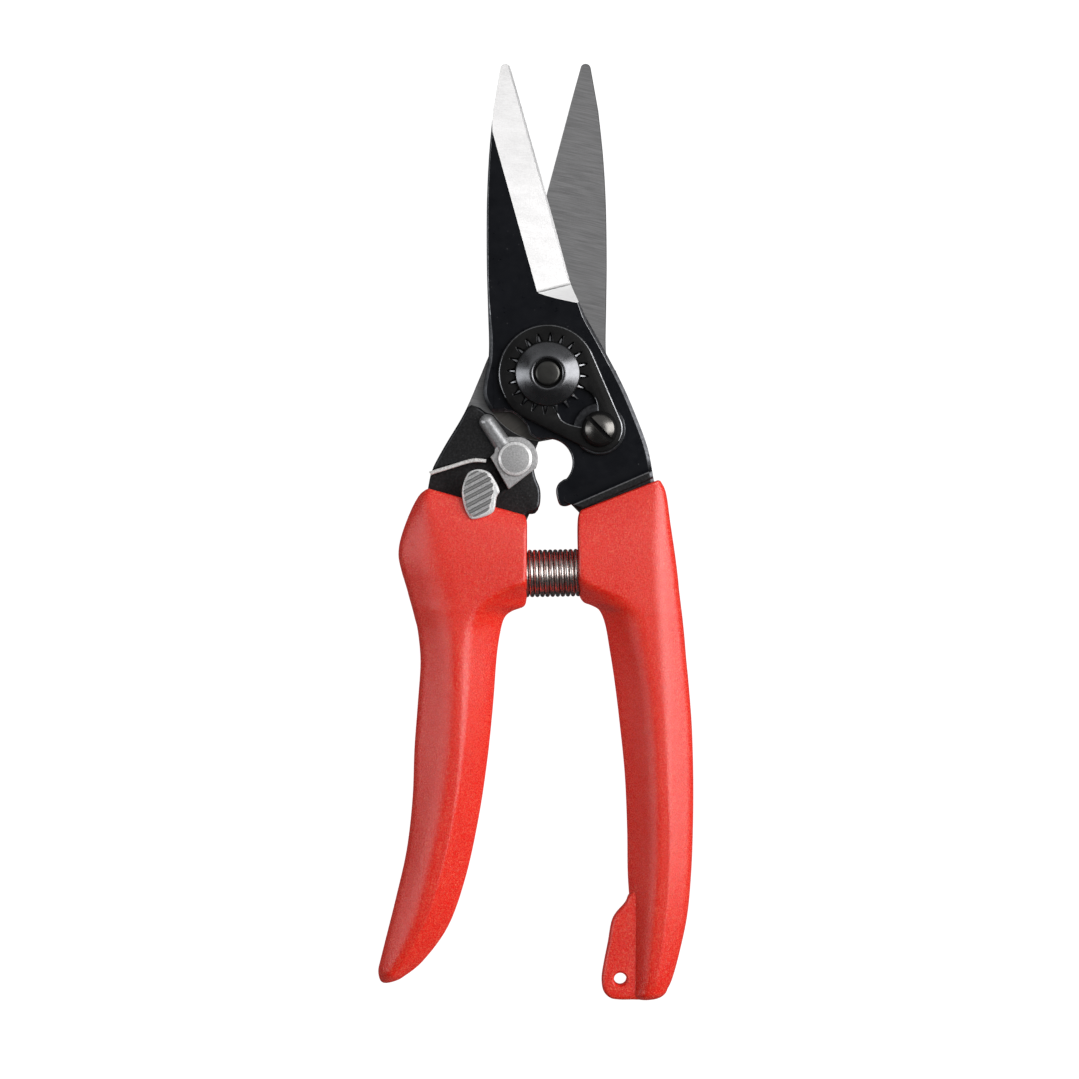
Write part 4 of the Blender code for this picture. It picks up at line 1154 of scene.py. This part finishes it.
def latch_spring():
    centre = [
        (-25.15, -21.2, 0.2), (-24.6, -20.95, 0.2), (-22.5, -20.3, 0.2), (-20.4, -19.65, 0.2),
        (-18.2, -18.95, 0.2), (-16.5, -18.5, 0.2), (-15.2, -18.35, 0.2), (-14.2, -18.4, 0.15),
        (-13.2, -18.5, 0.1),
    ]
    strip = [(-0.4, -1.05), (-0.4, 0.98), (-0.28, 1.12), (0.28, 1.12), (0.4, 0.98), (0.4, -1.05)]
    return made("detent_strip", swept(through(centre, 4), strip), [STRIP], 40)


# ---- coil spring

def handle_spring():
    turns, sides, steps = 29, 12, 36
    reach = 15.8  # from the middle to each end
    coil, thick = 4.6, 0.5
    bm = bmesh.new()
    rings = []
    for i in range(turns * steps + 1):
        t = i / (turns * steps)
        a = 2 * math.pi * turns * t
        # the axis leans a little and sags between the pockets
        rise = 0.25 * (2 * t - 1) - 0.25 * (1 - (2 * t - 1) ** 2)
        hub = Vector((reach * (2 * t - 1), SPRING_Y - 0.05 + rise, 0))
        radial = Vector((0, math.cos(a), math.sin(a)))
        ring = []
        for k in range(sides):
            b = 2 * math.pi * k / sides
            along = Vector((thick * math.sin(b), 0, 0))
            ring.append(bm.verts.new(hub + radial * (coil + thick * math.cos(b)) + along))
        rings.append(ring)
    skinned(bm, rings)
    return made("return_spring", bm, [WIRE], 60)


# ---- assembly

def assemble():
    right, left = "right_half", "left_half"
    stands_for(front_blade(), "front_blade", right)
    stands_for(back_blade(), "back_blade", left)
    stands_for(left_grip(), "left_grip", left)
    stands_for(right_grip(), "right_grip", right)
    stands_for(pivot_bolt(), "pivot_bolt", right)
    stands_for(pivot_washer(), "pivot_washer", right)
    stands_for(pivot_nut(), "pivot_nut", right)
    stands_for(lock_plate(), "lock_plate", right)
    stands_for(lock_screw(), "lock_screw", right)
    stands_for(latch_lever(), "latch_lever", "latch")
    stands_for(latch_rivet(), "latch_rivet", left)
    stands_for(latch_spring(), "latch_spring", left)
    coil = handle_spring()
    ends = [((x + PIVOT.x) * MM, (SPRING_Y + PIVOT.y) * MM, PIVOT.z * MM) for x in (-14.0, 14.0)]
    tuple(ends[0])
    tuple(ends[1])
    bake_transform(coil)
    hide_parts("handle_spring")


def panel(name, place, size, power, colour):
    """A soft box: a rectangular area light turned to the snips."""
    data = bpy.data.lights.new(name, "AREA")
    data.shape = "RECTANGLE"
    data.size, data.size_y = size
    data.energy = power
    data.color = colour
    light = linked(name, data)
    light.location = place
    light.rotation_euler = (-Vector(place)).to_track_quat("-Z", "Y").to_euler()
    return light


def studio():
    """A glowing white floor, three soft boxes and a fill, and the camera straight above."""
    side = 3
    floor_data = bpy.data.meshes.new("floor")
    corners = [(-side, -side, 0), (side, -side, 0), (side, side, 0), (-side, side, 0)]
    floor_data.from_pydata(corners, [], [(0, 1, 2, 3)])
    floor = linked("floor", floor_data)
    floor.location.z = -0.0002
    white = bpy.data.materials.new("studio_white")
    white.use_nodes = True
    preset(white.node_tree.nodes["Principled BSDF"], Base_Color=(0.12, 0.12, 0.12, 1), Roughness=0.9,
           Emission_Color=(1, 1, 1, 1), Emission_Strength=1.0)
    floor_data.materials.append(white)
    floor.visible_glossy = False
    scene = bpy.context.scene
    world = bpy.data.worlds.new("studio")
    scene.world = world
    world.use_nodes = True
    preset(world.node_tree.nodes["Background"], Color=(1.0, 1.0, 1.02, 1), Strength=0.035)
    # each with its place in metres, size, watts and colour
    panel("right_box", (1.0, 0.18, 0.82), (0.80, 1.3), 11.1, (1.0, 0.99, 0.98))
    left_box = panel("left_box", (-0.69, 0.02, 0.515), (0.30, 0.7), 1.26, (0.98, 0.99, 1.0))
    left_box.visible_diffuse = False
    panel("far_box", (0.0, 0.55, 0.72), (1.3, 0.8), 0.9, (1, 1, 1))
    fill = panel("fill", (0.35, 0.2, 1.15), (1.2, 1.2), 8.3, (1, 1, 1))
    fill.visible_glossy = False
    camera_data = bpy.data.cameras.new("camera")
    camera_data.lens = 117
    camera_data.sensor_width = 36
    camera = linked("camera", camera_data)
    camera.location = (0.00095, -0.00162, 0.7566)
    scene.camera = camera
    scene.view_settings.view_transform = "Standard"


assemble()
studio()
